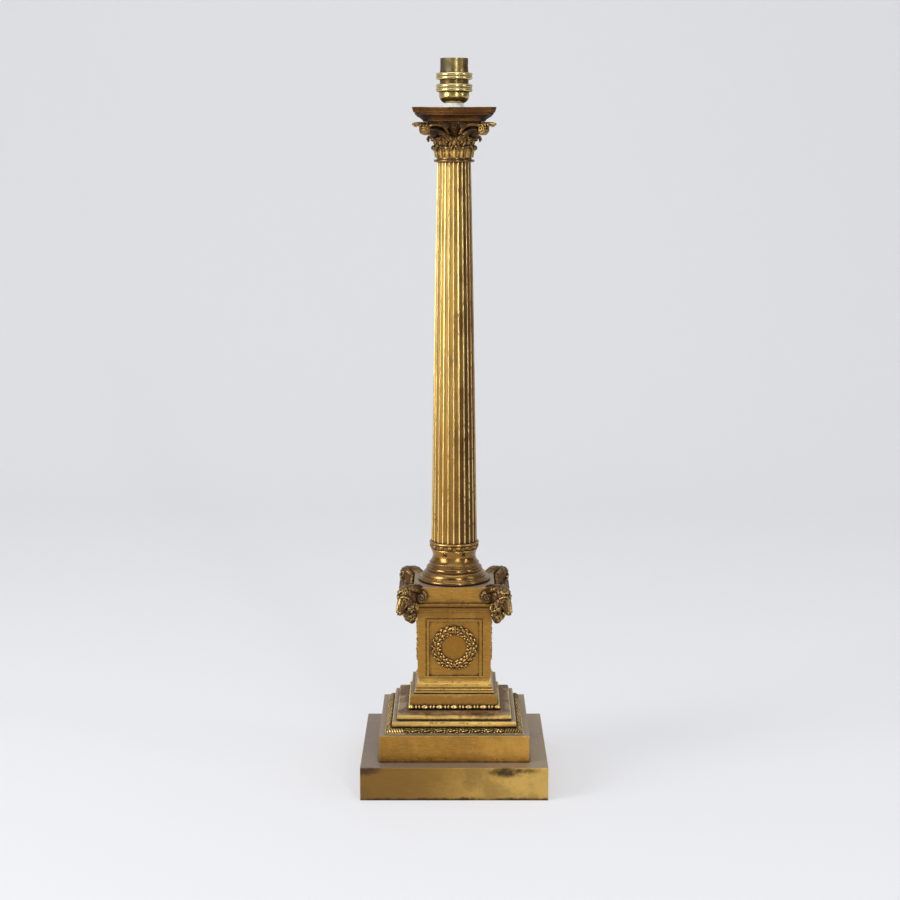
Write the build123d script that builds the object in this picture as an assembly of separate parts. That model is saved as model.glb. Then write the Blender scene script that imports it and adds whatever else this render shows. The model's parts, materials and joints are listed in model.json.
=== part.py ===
from build123d import *
import math
import os

# A table lamp in the form of a fluted column on a square pedestal, in millimetres. +Z is up, the front
# is -Y, and the origin is the middle of the base, on the surface that the lamp stands on.

# ---- driving dimensions ---------------------------------------------------------------------------
# Castings and their clearances
CASTING_WALL = 4.0
DECK = 4.0
FIT_GAP = 0.1

# Tie rod: a threaded tube that clamps the whole stack
ROD_R = 5.0
ROD_BORE_R = 3.5
ROD_HOLE_GAP = 0.3
NUT_FLATS = 16.0
NUT_H = 8.0
WASHER_R = 14.0
WASHER_T = 2.0
ROD_TAIL = 3.0
LOCKNUT_FLATS = 14.0
LOCKNUT_H = 3.6

# Plinth and its closed underside
PLINTH_W = 188.0
PLINTH_H = 33.5
FELT_T = 1.5
COVER_T = 1.5
COVER_GAP = 0.3
BOSS_R = 6.5
BOSS_INSET = 9.0
COVER_SCREW_R = 2.0
COVER_SCREW_HEAD_R = 3.6
COVER_SCREW_DEPTH = 9.0

# Cable inlet in the back of the plinth
BUSH_BORE_R = 3.75
BUSH_R = 6.0
BUSH_FLANGE_R = 8.0
BUSH_FLANGE_T = 1.5
BUSH_L = 9.0
BUSH_Z = 16.0

# Stepped base above the plinth
STEP_W = 151.0
STEP_H = 27.2
LEAF_FOOT_W = 141.5
LEAF_TOP_W = 127.0
LEAF_H = 4.6
LEAF_BULGE = 1.3
LEAF_BORE_W = 96.0
LEAF_LOBES = 13
LEAF_LOBE_R = 2.6
LEAF_LOBE_SHARE = 0.72
LEAF_LOBE_RELIEF = 0.9
FASCIA_W = 124.4
FASCIA_H = 6.2
FASCIA_BULGE = 0.7
GROOVE_H = 0.6
GROOVE_DEPTH = 4.6
ROLL_W = 115.2
ROLL_H = 4.7
ROLL_BULGE = 1.0
COVE_TOP_W = 96.4
COVE_H = 2.4
COVE_DIP = 0.9
BEAD_STRING_HALF = 44.6
BEAD_BED_W = 88.4
BEAD_SEAT = 4.0
BEAD_BED_H = 5.1
BEAD_R = 2.45
BEAD_BOW = 0.4
BEAD_L = 7.6
BEADS_PER_SIDE = 6
REEL_R = 2.2
REEL_W = 2.4
REEL_GROOVE_R = 1.3
REEL_GROOVE_W = 0.6

# Pedestal
FOOT_W = 87.4
FOOT_H = 10.4
LOWER_FILLET_W = 80.4
LOWER_FILLET_H = 2.3
UPPER_FILLET_W = 78.0
UPPER_FILLET_H = 2.6
FILLET_BOW = 0.6
CYMA_FOOT_W = 75.6
CYMA_NECK_W = 72.6
CYMA_H = 10.4
CYMA_BOW = 1.0
CYMA_NECK_BOW = 0.5
NECK_FILLET_W = 73.6
NECK_FILLET_H = 1.2
DIE_W = 74.6
DIE_H = 68.4
DIE_WALL = 5.0
FRAME_STILE = 8.0
FRAME_RAIL = 6.6
FRAME_SILL = 1.0
FRAME_STEP = 1.0
FRAME_BEAD_W = 2.2
FRAME_BEAD_GAP = 1.4
PANEL_DEPTH = 1.9
CAP_SEAT_H = 1.0
CAP_SEAT_W = 76.4
CAP_CYMA_FOOT_W = 75.8
CAP_CYMA_TOP_W = 80.2
CAP_CYMA_H = 8.1
CAP_CYMA_FOOT_BOW = 0.6
CAP_CYMA_TOP_BOW = 1.2
CAP_GROOVE_W = 78.6
CAP_GROOVE_H = 2.3
CAP_W = 82.0
CAP_BLOCK_H = 14.3
CAP_CORNER_CUT = 9.0

# Wreaths on the four panels
WREATH_R = 23.4
WREATH_HOLE_R = 13.0
WREATH_RELIEF = 4.2
WREATH_BED_BOW = 0.5
WREATH_ABOVE_DIE_FOOT = 30.8
WREATH_LEAVES = 16
WREATH_LEAF_R = 2.5
WREATH_LEAF_HALF_L = 3.7
WREATH_LEAF_SPLAY = 24.0
WREATH_TIES = 4
WREATH_TIE_W = 4.0
WREATH_TIE_PROUD = 0.5
WREATH_STUD_R = 1.5
WREATH_STUD_REACH = 2.2
WREATH_STUD_HEAD_R = 3.0
WREATH_STUD_HEAD_T = 2.0

# Rams' heads on the corners of the cap: places are measured outwards from the cap's corner and
# downwards from its top
SKULL_R = 10.0
SKULL_LENGTH = 12.5
SKULL_OUT = 6.0
SKULL_DOWN = 4.6
NECK_R = 5.4
NECK_OUT = 2.0
NECK_DOWN = 2.6
NAPE_R = 3.6
NAPE_IN = 9.0
NAPE_DOWN = 3.0
FOREHEAD_R = 7.6
FOREHEAD_OUT = 12.5
FOREHEAD_DOWN = 6.4
MUZZLE_R = 4.9
MUZZLE_OUT = 17.5
MUZZLE_DOWN = 20.5
BEARD_R = 7.4
BEARD_OUT = 4.0
BEARD_DOWN = 27.5
BEARD_TIP_R = 4.6
BEARD_TIP_OUT = 3.2
BEARD_TIP_DOWN = 33.0
EYE_R = 2.1
EYE_OUT = 15.0
EYE_SIDE = 6.6
EYE_DOWN = 8.5
HORN_R = 3.3
HORN_TIP_R = 2.1
HORN_COIL_R = 5.0
HORN_INNER_COIL_R = 2.4
HORN_BACK = 4.6
HORN_DOWN = 8.6
HORN_PROUD = 2.4
HORN_COIL_PROUD = 1.0
CHEEK_R = 3.5
CHEEK_OUT = 6.0
CHEEK_SIDE = 6.0
CHEEK_DOWN = 17.5
EAR_R = 2.0
EAR_OUT = 4.5
EAR_SIDE = 12.4
EAR_DOWN = 19.5
RAM_SCREW_R = 2.0
RAM_SCREW_HEAD_R = 3.2
RAM_SCREW_HEAD_T = 2.5
RAM_SCREW_REACH = 8.0

# Round base of the column
RIM_R = 36.4
RIM_H = 4.0
RIM_BULGE = 1.4
RIM_FILLET_R = 34.6
RIM_FILLET_H = 1.4
LOWER_TORUS_R = 32.4
LOWER_TORUS_H = 5.6
LOWER_TORUS_BULGE = 1.3
UPPER_TORUS_R = 28.0
UPPER_TORUS_H = 5.0
UPPER_TORUS_BULGE = 1.7
SCOTIA_FILLET_R = 25.6
SCOTIA_FILLET_H = 3.0
SCOTIA_R = 22.1
SCOTIA_H = 8.8
SCOTIA_BOW = 1.2
SCOTIA_TOP_R = 23.2
SCOTIA_TOP_H = 3.9
COLUMN_BASE_WALL = 5.0
COLLAR_R = 25.2
COLLAR_H = 9.6
COLLAR_BAND_H = 3.4
COLLAR_BAND_BOW = 0.3
COLLAR_LOBES = 16
COLLAR_LOBE_R = 3.5
COLLAR_LOBE_AT = 22.7
COLLAR_LOBE_DOWN = 4.9

# Fluted shaft
FLUTES = 24
SHAFT_FOOT_R = 23.4
SHAFT_TOP_R = 16.9
SHAFT_H = 384.4
SHAFT_ENTASIS = 0.35
SHAFT_STATIONS = 5
FLUTE_DEPTH_SHARE = 0.075
ARRIS_SHARE = 0.2
SHAFT_WALL = 3.0
ASTRAGAL_R = 20.5
ASTRAGAL_BED_R = 19.4
ASTRAGAL_H = 4.6
ASTRAGAL_BEAD_H = 2.8

# Capital
BELL_FOOT_R = 16.6
BELL_WAIST_R = 17.6
BELL_LIP_R = 25.0
BELL_H = 35.2
BELL_WAIST_H = 20.0
BELL_LIP_H = 1.6
BELL_BOW = 1.5
BELL_WALL = 4.0
LEAVES_PER_ROW = 8
LEAF_THICK = 1.5
LEAF_CURL_H = 3.0
LEAF_CURL_BOW = 0.8
LEAF_FOOT_SHARE = 0.7
LEAF_TIP_SHARE = 0.55
LEAF_EDGE_BOW = 1.1
LOWER_LEAF_H = 10.5
LOWER_LEAF_TIP_R = 22.2
LOWER_LEAF_W = 12.4
UPPER_LEAF_START = 11.2
UPPER_LEAF_H = 9.4
UPPER_LEAF_TIP_R = 27.0
UPPER_LEAF_W = 14.0
VOLUTE_W = 7.0
VOLUTE_STRAP = 2.0
VOLUTE_ROOT_T = 3.0
VOLUTE_EYE_OUT = 40.5
VOLUTE_EYE_BELOW = 8.2
VOLUTE_R = 4.8
VOLUTE_BOW = 2.4
VOLUTE_ROOT_GAP = 0.4
VOLUTE_TIP_OUT = 58.4
VOLUTE_TIP_T = 2.6
VOLUTE_TIP_BOW = 0.7
HELIX_R = 3.2
HELIX_T = 2.4
HELIX_SIDE = 8.4
HELIX_BELOW = 4.4
HELIX_ROOT = 8.8
ABACUS_HALF = 41.4
ABACUS_FOOT_HALF = 31.0
ABACUS_SAG = 6.5
ABACUS_FOOT_SAG = 4.0
ABACUS_HORN = 5.0
ABACUS_COVE_H = 6.4
ABACUS_COVE_INSET = 3.2
ABACUS_FILLET_H = 1.3
ABACUS_FASCIA_H = 5.8
ABACUS_SLANT = 1.5
ABACUS_STEPS = 4
FLOWER_R = 3.3
FLOWER_HEART_R = 1.3
FLOWER_STALK_R = 2.0
FLOWER_PETAL_R = 1.5
FLOWER_PETALS = 6
FLOWER_BELOW = 3.6
FLOWER_PROUD = 0.4

# Lampholder
FILLER_R = 10.0
FILLER_TOP_R = 8.6
FILLER_H = 4.9
FILLER_BOW = 0.5
HOLDER_CAP_FOOT_R = 10.0
HOLDER_CAP_R = 14.9
HOLDER_CAP_H = 10.6
HOLDER_CAP_BULGE = 1.9
HOLDER_CAP_RIM_H = 1.4
HOLDER_CAP_WALL = 1.2
HOLDER_LEDGE = 1.0
HOLDER_SEAT_R = 14.25
HOLDER_THREAD_R = 14.0
HOLDER_MOUTH_R = 13.85
HOLDER_SKIRT_FOOT_R = 14.2
HOLDER_SKIRT_FOOT_H = 5.0
HOLDER_SKIRT_BOW = 0.1
HOLDER_H = 33.0
SHADE_GAP = 4.3
SEAT_MARGIN = 0.15
RING_R = 18.25
RING_BODY_R = 17.3
RING_H = 7.8
UPPER_RING_H = 6.6
RING_GAP = 0.1
BARREL_R = 12.5
BARREL_WALL_GAP = 0.05
BULB_R = 11.25
BARREL_LOWER_R = 10.9
BARREL_RECESS = 0.6
BULB_DEPTH = 15.0
SLOT_W = 2.8
SLOT_DEPTH = 8.6
SLOT_FOOT_W = 6.0
INSULATOR_H = 13.0
INSULATOR_GAP = 0.1
PLUNGER_SPACING = 9.0
PLUNGER_R = 2.2
PLUNGER_GAP = 0.05
PLUNGER_PROUD = 3.6
PLUNGER_TIP_FILLET = 1.2
PLUNGER_COLLAR_R = 2.9
PLUNGER_COLLAR_T = 1.4
PLUNGER_COLLAR_GAP = 0.1
PLUNGER_COLLAR_DOWN = 4.0
SPRING_H = 6.4
SPRING_R = 2.5
SPRING_WIRE = 0.6
TERMINAL_R = 3.5
TERMINAL_H = 4.0
TERMINAL_SCREW_R = 1.2
TERMINAL_SCREW_REACH = 2.0
GRUB_R = 1.2
GRUB_L = 3.6
GRUB_UP = 2.4

# ---- levels, from the bottom up ----------------------------------------------------------------------
ROD_HOLE_R = ROD_R + ROD_HOLE_GAP
STEP_Z = PLINTH_H
LEAF_Z = STEP_Z + STEP_H
OGEE_Z = LEAF_Z + LEAF_H
BEAD_Z = OGEE_Z + FASCIA_H + GROOVE_H + ROLL_H + COVE_H
FOOT_Z = BEAD_Z + BEAD_BED_H
DIE_Z = FOOT_Z + FOOT_H + LOWER_FILLET_H + UPPER_FILLET_H + CYMA_H + NECK_FILLET_H
CAP_Z = DIE_Z + DIE_H
CAP_TOP = CAP_Z + CAP_SEAT_H + CAP_CYMA_H + CAP_GROOVE_H + CAP_BLOCK_H
COLUMN_BASE_H = (
    RIM_H + RIM_FILLET_H + LOWER_TORUS_H + UPPER_TORUS_H + SCOTIA_FILLET_H + SCOTIA_H + SCOTIA_TOP_H
)
COLLAR_Z = CAP_TOP + COLUMN_BASE_H
SHAFT_Z = COLLAR_Z + COLLAR_H
ASTRAGAL_Z = SHAFT_Z + SHAFT_H
BELL_Z = ASTRAGAL_Z + ASTRAGAL_H
ABACUS_Z = BELL_Z + BELL_H
ABACUS_TOP = ABACUS_Z + ABACUS_COVE_H + ABACUS_FILLET_H + ABACUS_FASCIA_H
HOLDER_CAP_Z = ABACUS_TOP + FILLER_H
HOLDER_Z = HOLDER_CAP_Z + HOLDER_CAP_H
HOLDER_TOP = HOLDER_Z + HOLDER_H
LOWER_RING_TOP = HOLDER_Z + RING_H
UPPER_RING_Z = LOWER_RING_TOP + SHADE_GAP
INSULATOR_TOP = HOLDER_Z + INSULATOR_H

UPWARD = (Align.CENTER, Align.CENTER, Align.MIN)


# ---- shapes used throughout --------------------------------------------------------------------------
def slab(width, bottom, height):
    """A square slab about the lamp's axis."""
    return Pos(0, 0, bottom) * Box(width, width, height, align=UPWARD)


def rod(radius, bottom, height):
    """A round rod on the lamp's axis."""
    return Pos(0, 0, bottom) * Cylinder(radius, height, align=UPWARD)


def outline(*stations):
    """A closed face through stations (x, y) or (x, y, bow).

    bow is how far the edge that arrives at the station bulges to the right of its direction.
    """
    edges = []
    starts = stations[-1:] + stations[:-1]
    for start, end in zip(starts, stations):
        (x0, y0), (x1, y1) = start[:2], end[:2]
        bow = end[2] if len(end) > 2 else 0
        length = math.hypot(x1 - x0, y1 - y0)
        if bow:
            middle = (
                (x0 + x1) / 2 + (y1 - y0) / length * bow,
                (y0 + y1) / 2 - (x1 - x0) / length * bow,
            )
            edges.append(ThreePointArc((x0, y0), middle, (x1, y1)))
        else:
            edges.append(Line((x0, y0), (x1, y1)))
    return make_face(Wire(edges))


def turned(*stations):
    """A solid of revolution about the lamp's axis, from stations (radius, height, bow)."""
    return revolve(Plane.XZ * outline(*stations), Axis.Z)


def square_turned(*stations):
    """The square counterpart of a turned solid, with mitred corners, from (half width, height, bow).

    The first and last stations are on the axis.
    """
    right = outline(*stations)
    section = Plane.XZ * (right + mirror(right, about=Plane.YZ))
    reach = 2 * max(station[0] for station in stations)
    run = extrude(section, amount=reach, both=True)
    return run & (Rot(0, 0, 90) * run)


def fourfold(solid):
    """The solid and its copies at quarter turns about the lamp's axis."""
    return [Rot(0, 0, 90 * turn) * solid for turn in range(4)]


def around(solids):
    """The copies of several solids at quarter turns about the lamp's axis."""
    return [copy for solid in solids for copy in fourfold(solid)]


def hexagon_nut(flats, bottom, height):
    face = RegularPolygon(flats / 2, 6, major_radius=False)
    return extrude(Pos(0, 0, bottom) * face, amount=height) - rod(ROD_R + FIT_GAP, bottom, height)


def spheroid(radius, half_length):
    """An egg-shaped body about the Z axis, centred on the origin."""
    right = Pos(radius, 0) * Rectangle(2 * radius, 4 * half_length)
    return revolve(Plane.XZ * (Ellipse(radius, half_length) & right), Axis.Z)


def write(node, solids):
    """Write a node's solid, or its group of separate solids, to its own file."""
    group = list(solids) if isinstance(solids, (list, tuple)) else [solids]
    pieces = [piece for item in group for piece in item.solids()]
    export_step(Compound(children=pieces) if len(pieces) > 1 else pieces[0], f"parts/{node}.step")


# ---- plinth and underside --------------------------------------------------------------------------------
BOSS_AT = PLINTH_W / 2 - CASTING_WALL - BOSS_INSET


def at_bosses(solid):
    places = [(x, y) for x in (-BOSS_AT, BOSS_AT) for y in (-BOSS_AT, BOSS_AT)]
    return [Pos(x, y, 0) * solid for x, y in places]


def cover_screw(gap):
    """A countersunk screw, or with a gap the hole that it goes into."""
    head = turned(
        (0, FELT_T),
        (COVER_SCREW_HEAD_R + gap, FELT_T),
        (COVER_SCREW_R + gap, FELT_T + COVER_T),
        (0, FELT_T + COVER_T),
    )
    return head + rod(COVER_SCREW_R + gap, FELT_T, COVER_T + COVER_SCREW_DEPTH + gap)


def bush(radius, flange_r, flange_t):
    """The cable bush's outer shape, or its hole in the plinth's back wall."""
    back = PLINTH_W / 2
    body = Pos(0, back, BUSH_Z) * Rot(90, 0, 0) * Cylinder(radius, BUSH_L, align=UPWARD)
    flange = Pos(0, back, BUSH_Z) * Rot(90, 0, 0) * Cylinder(flange_r, flange_t, align=UPWARD)
    return body + flange


def plinth():
    inside_w = PLINTH_W - 2 * CASTING_WALL
    inside_h = PLINTH_H - DECK
    shell = slab(PLINTH_W, 0, PLINTH_H) - slab(inside_w, 0, inside_h)
    boss_foot = FELT_T + COVER_T
    boss = rod(BOSS_R, boss_foot, inside_h - boss_foot)
    for post in at_bosses(boss):
        shell += post
    for hole in at_bosses(cover_screw(FIT_GAP)):
        shell -= hole
    shell -= bush(BUSH_R + FIT_GAP, BUSH_FLANGE_R + FIT_GAP, BUSH_FLANGE_T)
    return shell - rod(ROD_HOLE_R, 0, PLINTH_H)


def base_cover():
    plate = slab(PLINTH_W - 2 * CASTING_WALL - 2 * COVER_GAP, FELT_T, COVER_T)
    for hole in at_bosses(cover_screw(FIT_GAP)):
        plate -= hole
    return plate


def felt_pad():
    return slab(PLINTH_W - 2 * CASTING_WALL - 2 * COVER_GAP, 0, FELT_T)


def cable_bush():
    bore = Pos(0, PLINTH_W / 2, BUSH_Z) * Rot(90, 0, 0) * Cylinder(BUSH_BORE_R, BUSH_L, align=UPWARD)
    return bush(BUSH_R, BUSH_FLANGE_R, BUSH_FLANGE_T) - bore


# ---- stepped base ---------------------------------------------------------------------------------------
def hollow_tier(solid, top_w, bottom, height):
    """Open a tier from below, leaving its walls and deck, and pass the tie rod through the deck."""
    room = slab(top_w - 2 * CASTING_WALL, bottom, height - DECK)
    return solid - room - rod(ROD_HOLE_R, bottom, height)


def step_block():
    return hollow_tier(slab(STEP_W, STEP_Z, STEP_H), STEP_W, STEP_Z, STEP_H)


def leaf_moulding():
    """A square ring of carved leaves: a convex bed with a row of lobes along each side."""
    foot = LEAF_FOOT_W / 2
    top = LEAF_TOP_W / 2
    bed = square_turned(
        (0, LEAF_Z), (foot, LEAF_Z), (top, LEAF_Z + LEAF_H, LEAF_BULGE), (0, LEAF_Z + LEAF_H)
    )
    run = foot - top
    slope = math.hypot(run, LEAF_H)
    out = LEAF_BULGE + LEAF_LOBE_RELIEF - LEAF_LOBE_R
    middle_y = -(foot + top) / 2 - out * LEAF_H / slope
    middle_z = LEAF_Z + LEAF_H / 2 + out * run / slope
    lean = math.degrees(math.atan2(run, LEAF_H))
    pitch = LEAF_TOP_W / LEAF_LOBES
    lobe = Rot(-lean, 0, 0) * Cylinder(LEAF_LOBE_R, slope * LEAF_LOBE_SHARE)
    for index in range(LEAF_LOBES):
        along = (index - (LEAF_LOBES - 1) / 2) * pitch
        for copy in fourfold(Pos(along, middle_y, middle_z) * lobe):
            bed += copy
    bed &= slab(2 * LEAF_FOOT_W, LEAF_Z, LEAF_H)
    return bed - slab(LEAF_BORE_W, LEAF_Z, LEAF_H)


def ogee_moulding():
    """A fascia, a groove, a roll and a cove that draws in to the bead row."""
    fascia = FASCIA_W / 2
    roll = ROLL_W / 2
    cove = COVE_TOP_W / 2
    groove_z = OGEE_Z + FASCIA_H
    roll_z = groove_z + GROOVE_H
    cove_z = roll_z + ROLL_H
    solid = square_turned(
        (0, OGEE_Z),
        (fascia, OGEE_Z),
        (fascia, groove_z, FASCIA_BULGE),
        (fascia - GROOVE_DEPTH - GROOVE_H, groove_z),
        (fascia - GROOVE_DEPTH - GROOVE_H, roll_z),
        (roll, roll_z),
        (roll - ROLL_BULGE, cove_z, ROLL_BULGE),
        (cove, BEAD_Z, -COVE_DIP),
        (0, BEAD_Z),
    )
    return hollow_tier(solid, COVE_TOP_W, OGEE_Z, BEAD_Z - OGEE_Z)


def bead_string():
    """One side of the bead-and-reel row, turned about its own length, between two corner beads."""
    pitch = 2 * BEAD_STRING_HALF / BEADS_PER_SIDE
    stations = [(-BEAD_STRING_HALF, BEAD_R)]
    for index in range(BEADS_PER_SIDE):
        gap_at = -BEAD_STRING_HALF + (index + 0.5) * pitch
        left = gap_at - REEL_GROOVE_W / 2 - REEL_W
        right = gap_at + REEL_GROOVE_W / 2 + REEL_W
        next_bead = gap_at + pitch / 2
        stations.append((next_bead - pitch + BEAD_L / 2, REEL_GROOVE_R, -BEAD_BOW))
        stations += [(left, REEL_GROOVE_R), (left, REEL_R)]
        stations += [(left + REEL_W, REEL_R), (left + REEL_W, REEL_GROOVE_R)]
        stations += [(right - REEL_W, REEL_GROOVE_R), (right - REEL_W, REEL_R)]
        stations += [(right, REEL_R), (right, REEL_GROOVE_R)]
        stations.append((next_bead - BEAD_L / 2, REEL_GROOVE_R))
        stations.append((next_bead, BEAD_R, -BEAD_BOW))
    stations += [(BEAD_STRING_HALF, 0), (-BEAD_STRING_HALF, 0)]
    string = revolve(outline(*stations), Axis.X)
    return Pos(0, -BEAD_STRING_HALF, BEAD_Z + BEAD_BED_H / 2) * string


def bead_moulding():
    """The bed and the bead-and-reel row that stands out of its four sides."""
    bed = slab(BEAD_BED_W, BEAD_Z, BEAD_BED_H)
    corner = Pos(-BEAD_STRING_HALF, -BEAD_STRING_HALF, BEAD_Z + BEAD_BED_H / 2) * Sphere(BEAD_R)
    for string in fourfold(bead_string()):
        bed += string
    for bead in fourfold(corner):
        bed += bead
    return bed - slab(FOOT_W - 2 * CASTING_WALL - 2 * BEAD_SEAT, BEAD_Z, BEAD_BED_H)


# ---- pedestal -------------------------------------------------------------------------------------------
def pedestal_base():
    lower_fillet_z = FOOT_Z + FOOT_H
    upper_fillet_z = lower_fillet_z + LOWER_FILLET_H
    cyma_z = upper_fillet_z + UPPER_FILLET_H
    neck_z = cyma_z + CYMA_H
    cyma_half = (CYMA_FOOT_W + CYMA_NECK_W) / 4
    solid = square_turned(
        (0, FOOT_Z),
        (FOOT_W / 2, FOOT_Z),
        (FOOT_W / 2, lower_fillet_z),
        (LOWER_FILLET_W / 2, lower_fillet_z),
        (LOWER_FILLET_W / 2, upper_fillet_z, FILLET_BOW),
        (UPPER_FILLET_W / 2, upper_fillet_z),
        (UPPER_FILLET_W / 2, cyma_z, FILLET_BOW),
        (CYMA_FOOT_W / 2, cyma_z),
        (cyma_half, cyma_z + CYMA_H / 2, CYMA_BOW),
        (CYMA_NECK_W / 2, neck_z, -CYMA_NECK_BOW),
        (NECK_FILLET_W / 2, neck_z),
        (NECK_FILLET_W / 2, DIE_Z),
        (0, DIE_Z),
    )
    return hollow_tier(solid, CYMA_NECK_W, FOOT_Z, DIE_Z - FOOT_Z)


PANEL_FOOT = DIE_Z + FRAME_SILL
PANEL_FACE = DIE_W / 2 - PANEL_DEPTH
WREATH_Z = DIE_Z + WREATH_ABOVE_DIE_FOOT
WREATH_MIDDLE_R = (WREATH_R + WREATH_HOLE_R) / 2


def recess(margin, depth):
    """A recess of the front panel, set in from the frame's inner edge, open at the panel's face."""
    width = DIE_W - 2 * FRAME_STILE - 2 * margin
    height = DIE_H - FRAME_SILL - FRAME_RAIL - margin
    return Pos(0, -DIE_W / 2, PANEL_FOOT) * Box(width, 2 * depth, height, align=UPWARD)


def pedestal_die():
    """A square box whose four sides have a sunk panel within a thin bead."""
    shell = slab(DIE_W, DIE_Z, DIE_H) - slab(DIE_W - 2 * DIE_WALL, DIE_Z, DIE_H)
    frame = recess(0, FRAME_STEP) - recess(FRAME_BEAD_GAP, FRAME_STEP)
    sunk = frame + recess(FRAME_BEAD_GAP + FRAME_BEAD_W, PANEL_DEPTH)
    for panel in fourfold(sunk):
        shell -= panel
    for hole in around(wreath_studs(FIT_GAP)):
        shell -= hole
    return shell


def wreath_studs(gap):
    """The pair of studs that hold the front wreath, or with a gap their holes."""
    wall_inside = -DIE_W / 2 + DIE_WALL
    reach = wall_inside - (-PANEL_FACE - WREATH_STUD_REACH)
    shank = Rot(90, 0, 0) * Cylinder(WREATH_STUD_R + gap, reach, align=UPWARD)
    head = Rot(90, 0, 0) * Cylinder(WREATH_STUD_HEAD_R, WREATH_STUD_HEAD_T, align=UPWARD)
    stud = shank + Pos(0, WREATH_STUD_HEAD_T, 0) * head
    return [Pos(side * WREATH_MIDDLE_R, wall_inside, WREATH_Z) * stud for side in (-1, 1)]


def front_wreath():
    """A rounded ring of laurel, bound with four ties, on the front panel."""
    half_w = (WREATH_R - WREATH_HOLE_R) / 2
    bed_half = half_w - WREATH_TIE_PROUD
    bed_h = WREATH_RELIEF - WREATH_LEAF_R / 2
    ring = turned(
        (WREATH_MIDDLE_R - bed_half, 0),
        (WREATH_MIDDLE_R + bed_half, 0),
        (WREATH_MIDDLE_R + bed_half, bed_h / 2),
        (WREATH_MIDDLE_R, bed_h, WREATH_BED_BOW),
        (WREATH_MIDDLE_R - bed_half, bed_h / 2, WREATH_BED_BOW),
    )
    for index in range(WREATH_LEAVES):
        turn = Rot(0, 0, 360 / WREATH_LEAVES * (index + 0.5))
        for row in (-1, 1):
            leaf = Rot(90, 0, row * WREATH_LEAF_SPLAY) * spheroid(WREATH_LEAF_R, WREATH_LEAF_HALF_L)
            ring += turn * Pos(WREATH_MIDDLE_R + row * half_w / 2, 0, bed_h / 2) * leaf
    band = Cylinder(WREATH_R, WREATH_RELIEF, align=UPWARD)
    ring &= band - Cylinder(WREATH_HOLE_R, WREATH_RELIEF, align=UPWARD)
    hoop = turned(
        (WREATH_HOLE_R, 0),
        (WREATH_R, 0),
        (WREATH_R, bed_h / 2),
        (WREATH_MIDDLE_R, WREATH_RELIEF, WREATH_BED_BOW),
        (WREATH_HOLE_R, bed_h / 2, WREATH_BED_BOW),
    )
    tie = hoop & (Pos(WREATH_MIDDLE_R, 0, 0) * Box(2 * half_w, WREATH_TIE_W, WREATH_RELIEF, align=UPWARD))
    for index in range(WREATH_TIES):
        ring += Rot(0, 0, 360 / WREATH_TIES * index) * tie
    standing = Pos(0, -PANEL_FACE, WREATH_Z) * Rot(90, 0, 0) * ring
    for stud in wreath_studs(FIT_GAP):
        standing -= stud
    return standing


def cap_solid():
    """The cap's outer form: a seat on the die, a cyma, a groove and the block."""
    cyma_z = CAP_Z + CAP_SEAT_H
    groove_z = cyma_z + CAP_CYMA_H
    block_z = groove_z + CAP_GROOVE_H
    cyma_half = (CAP_CYMA_FOOT_W + CAP_CYMA_TOP_W) / 4
    return square_turned(
        (0, CAP_Z),
        (CAP_SEAT_W / 2, CAP_Z),
        (CAP_SEAT_W / 2, cyma_z),
        (CAP_CYMA_FOOT_W / 2, cyma_z),
        (cyma_half, cyma_z + CAP_CYMA_H / 2, -CAP_CYMA_FOOT_BOW),
        (CAP_CYMA_TOP_W / 2, groove_z, CAP_CYMA_TOP_BOW),
        (CAP_GROOVE_W / 2, groove_z),
        (CAP_GROOVE_W / 2, block_z),
        (CAP_W / 2, block_z),
        (CAP_W / 2, CAP_TOP),
        (0, CAP_TOP),
    )


CAP_ROOM_W = CAP_CYMA_FOOT_W - 2 * CASTING_WALL
CORNER_SEAT = (CAP_ROOM_W - CAP_CORNER_CUT) / math.sqrt(2)
CAP_CORNER = CAP_W / math.sqrt(2)
RAM_SCREW_Z = CAP_TOP - CAP_BLOCK_H / 2


def ram_screw(gap):
    """The screw of the ram's head on the +X diagonal, or with a gap its hole."""
    reach = CAP_CORNER + RAM_SCREW_REACH - CORNER_SEAT
    shank = Rot(0, 90, 0) * Cylinder(RAM_SCREW_R + gap, reach, align=UPWARD)
    head = Rot(0, -90, 0) * Cylinder(RAM_SCREW_HEAD_R, RAM_SCREW_HEAD_T, align=UPWARD)
    return Pos(CORNER_SEAT, 0, RAM_SCREW_Z) * (shank + head)


def pedestal_cap():
    """The cap, open from below, its inner corners thickened for the screws of the rams' heads."""
    room = slab(CAP_ROOM_W, CAP_Z, CAP_TOP - DECK - CAP_Z)
    room = chamfer(room.edges().filter_by(Axis.Z), CAP_CORNER_CUT)
    solid = cap_solid() - room - rod(ROD_HOLE_R, CAP_Z, CAP_TOP - CAP_Z)
    for hole in fourfold(Rot(0, 0, 45) * ram_screw(FIT_GAP)):
        solid -= hole
    return solid


# ---- rams' heads ----------------------------------------------------------------------------------------
def by_corner(out, side, down):
    """A point given outwards and sideways from the cap's corner, and down from its top."""
    return (CAP_CORNER + out, side, CAP_TOP - down)


def tapered(start, start_r, end, end_r):
    """A round bar between two points, tapered and with rounded ends."""
    axis = Vector(*end) - Vector(*start)
    cone = turned((0, 0), (start_r, 0), (end_r, axis.length), (0, axis.length))
    bar = Plane(origin=start, z_dir=axis) * cone
    return bar + Pos(*start) * Sphere(start_r) + Pos(*end) * Sphere(end_r)


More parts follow.
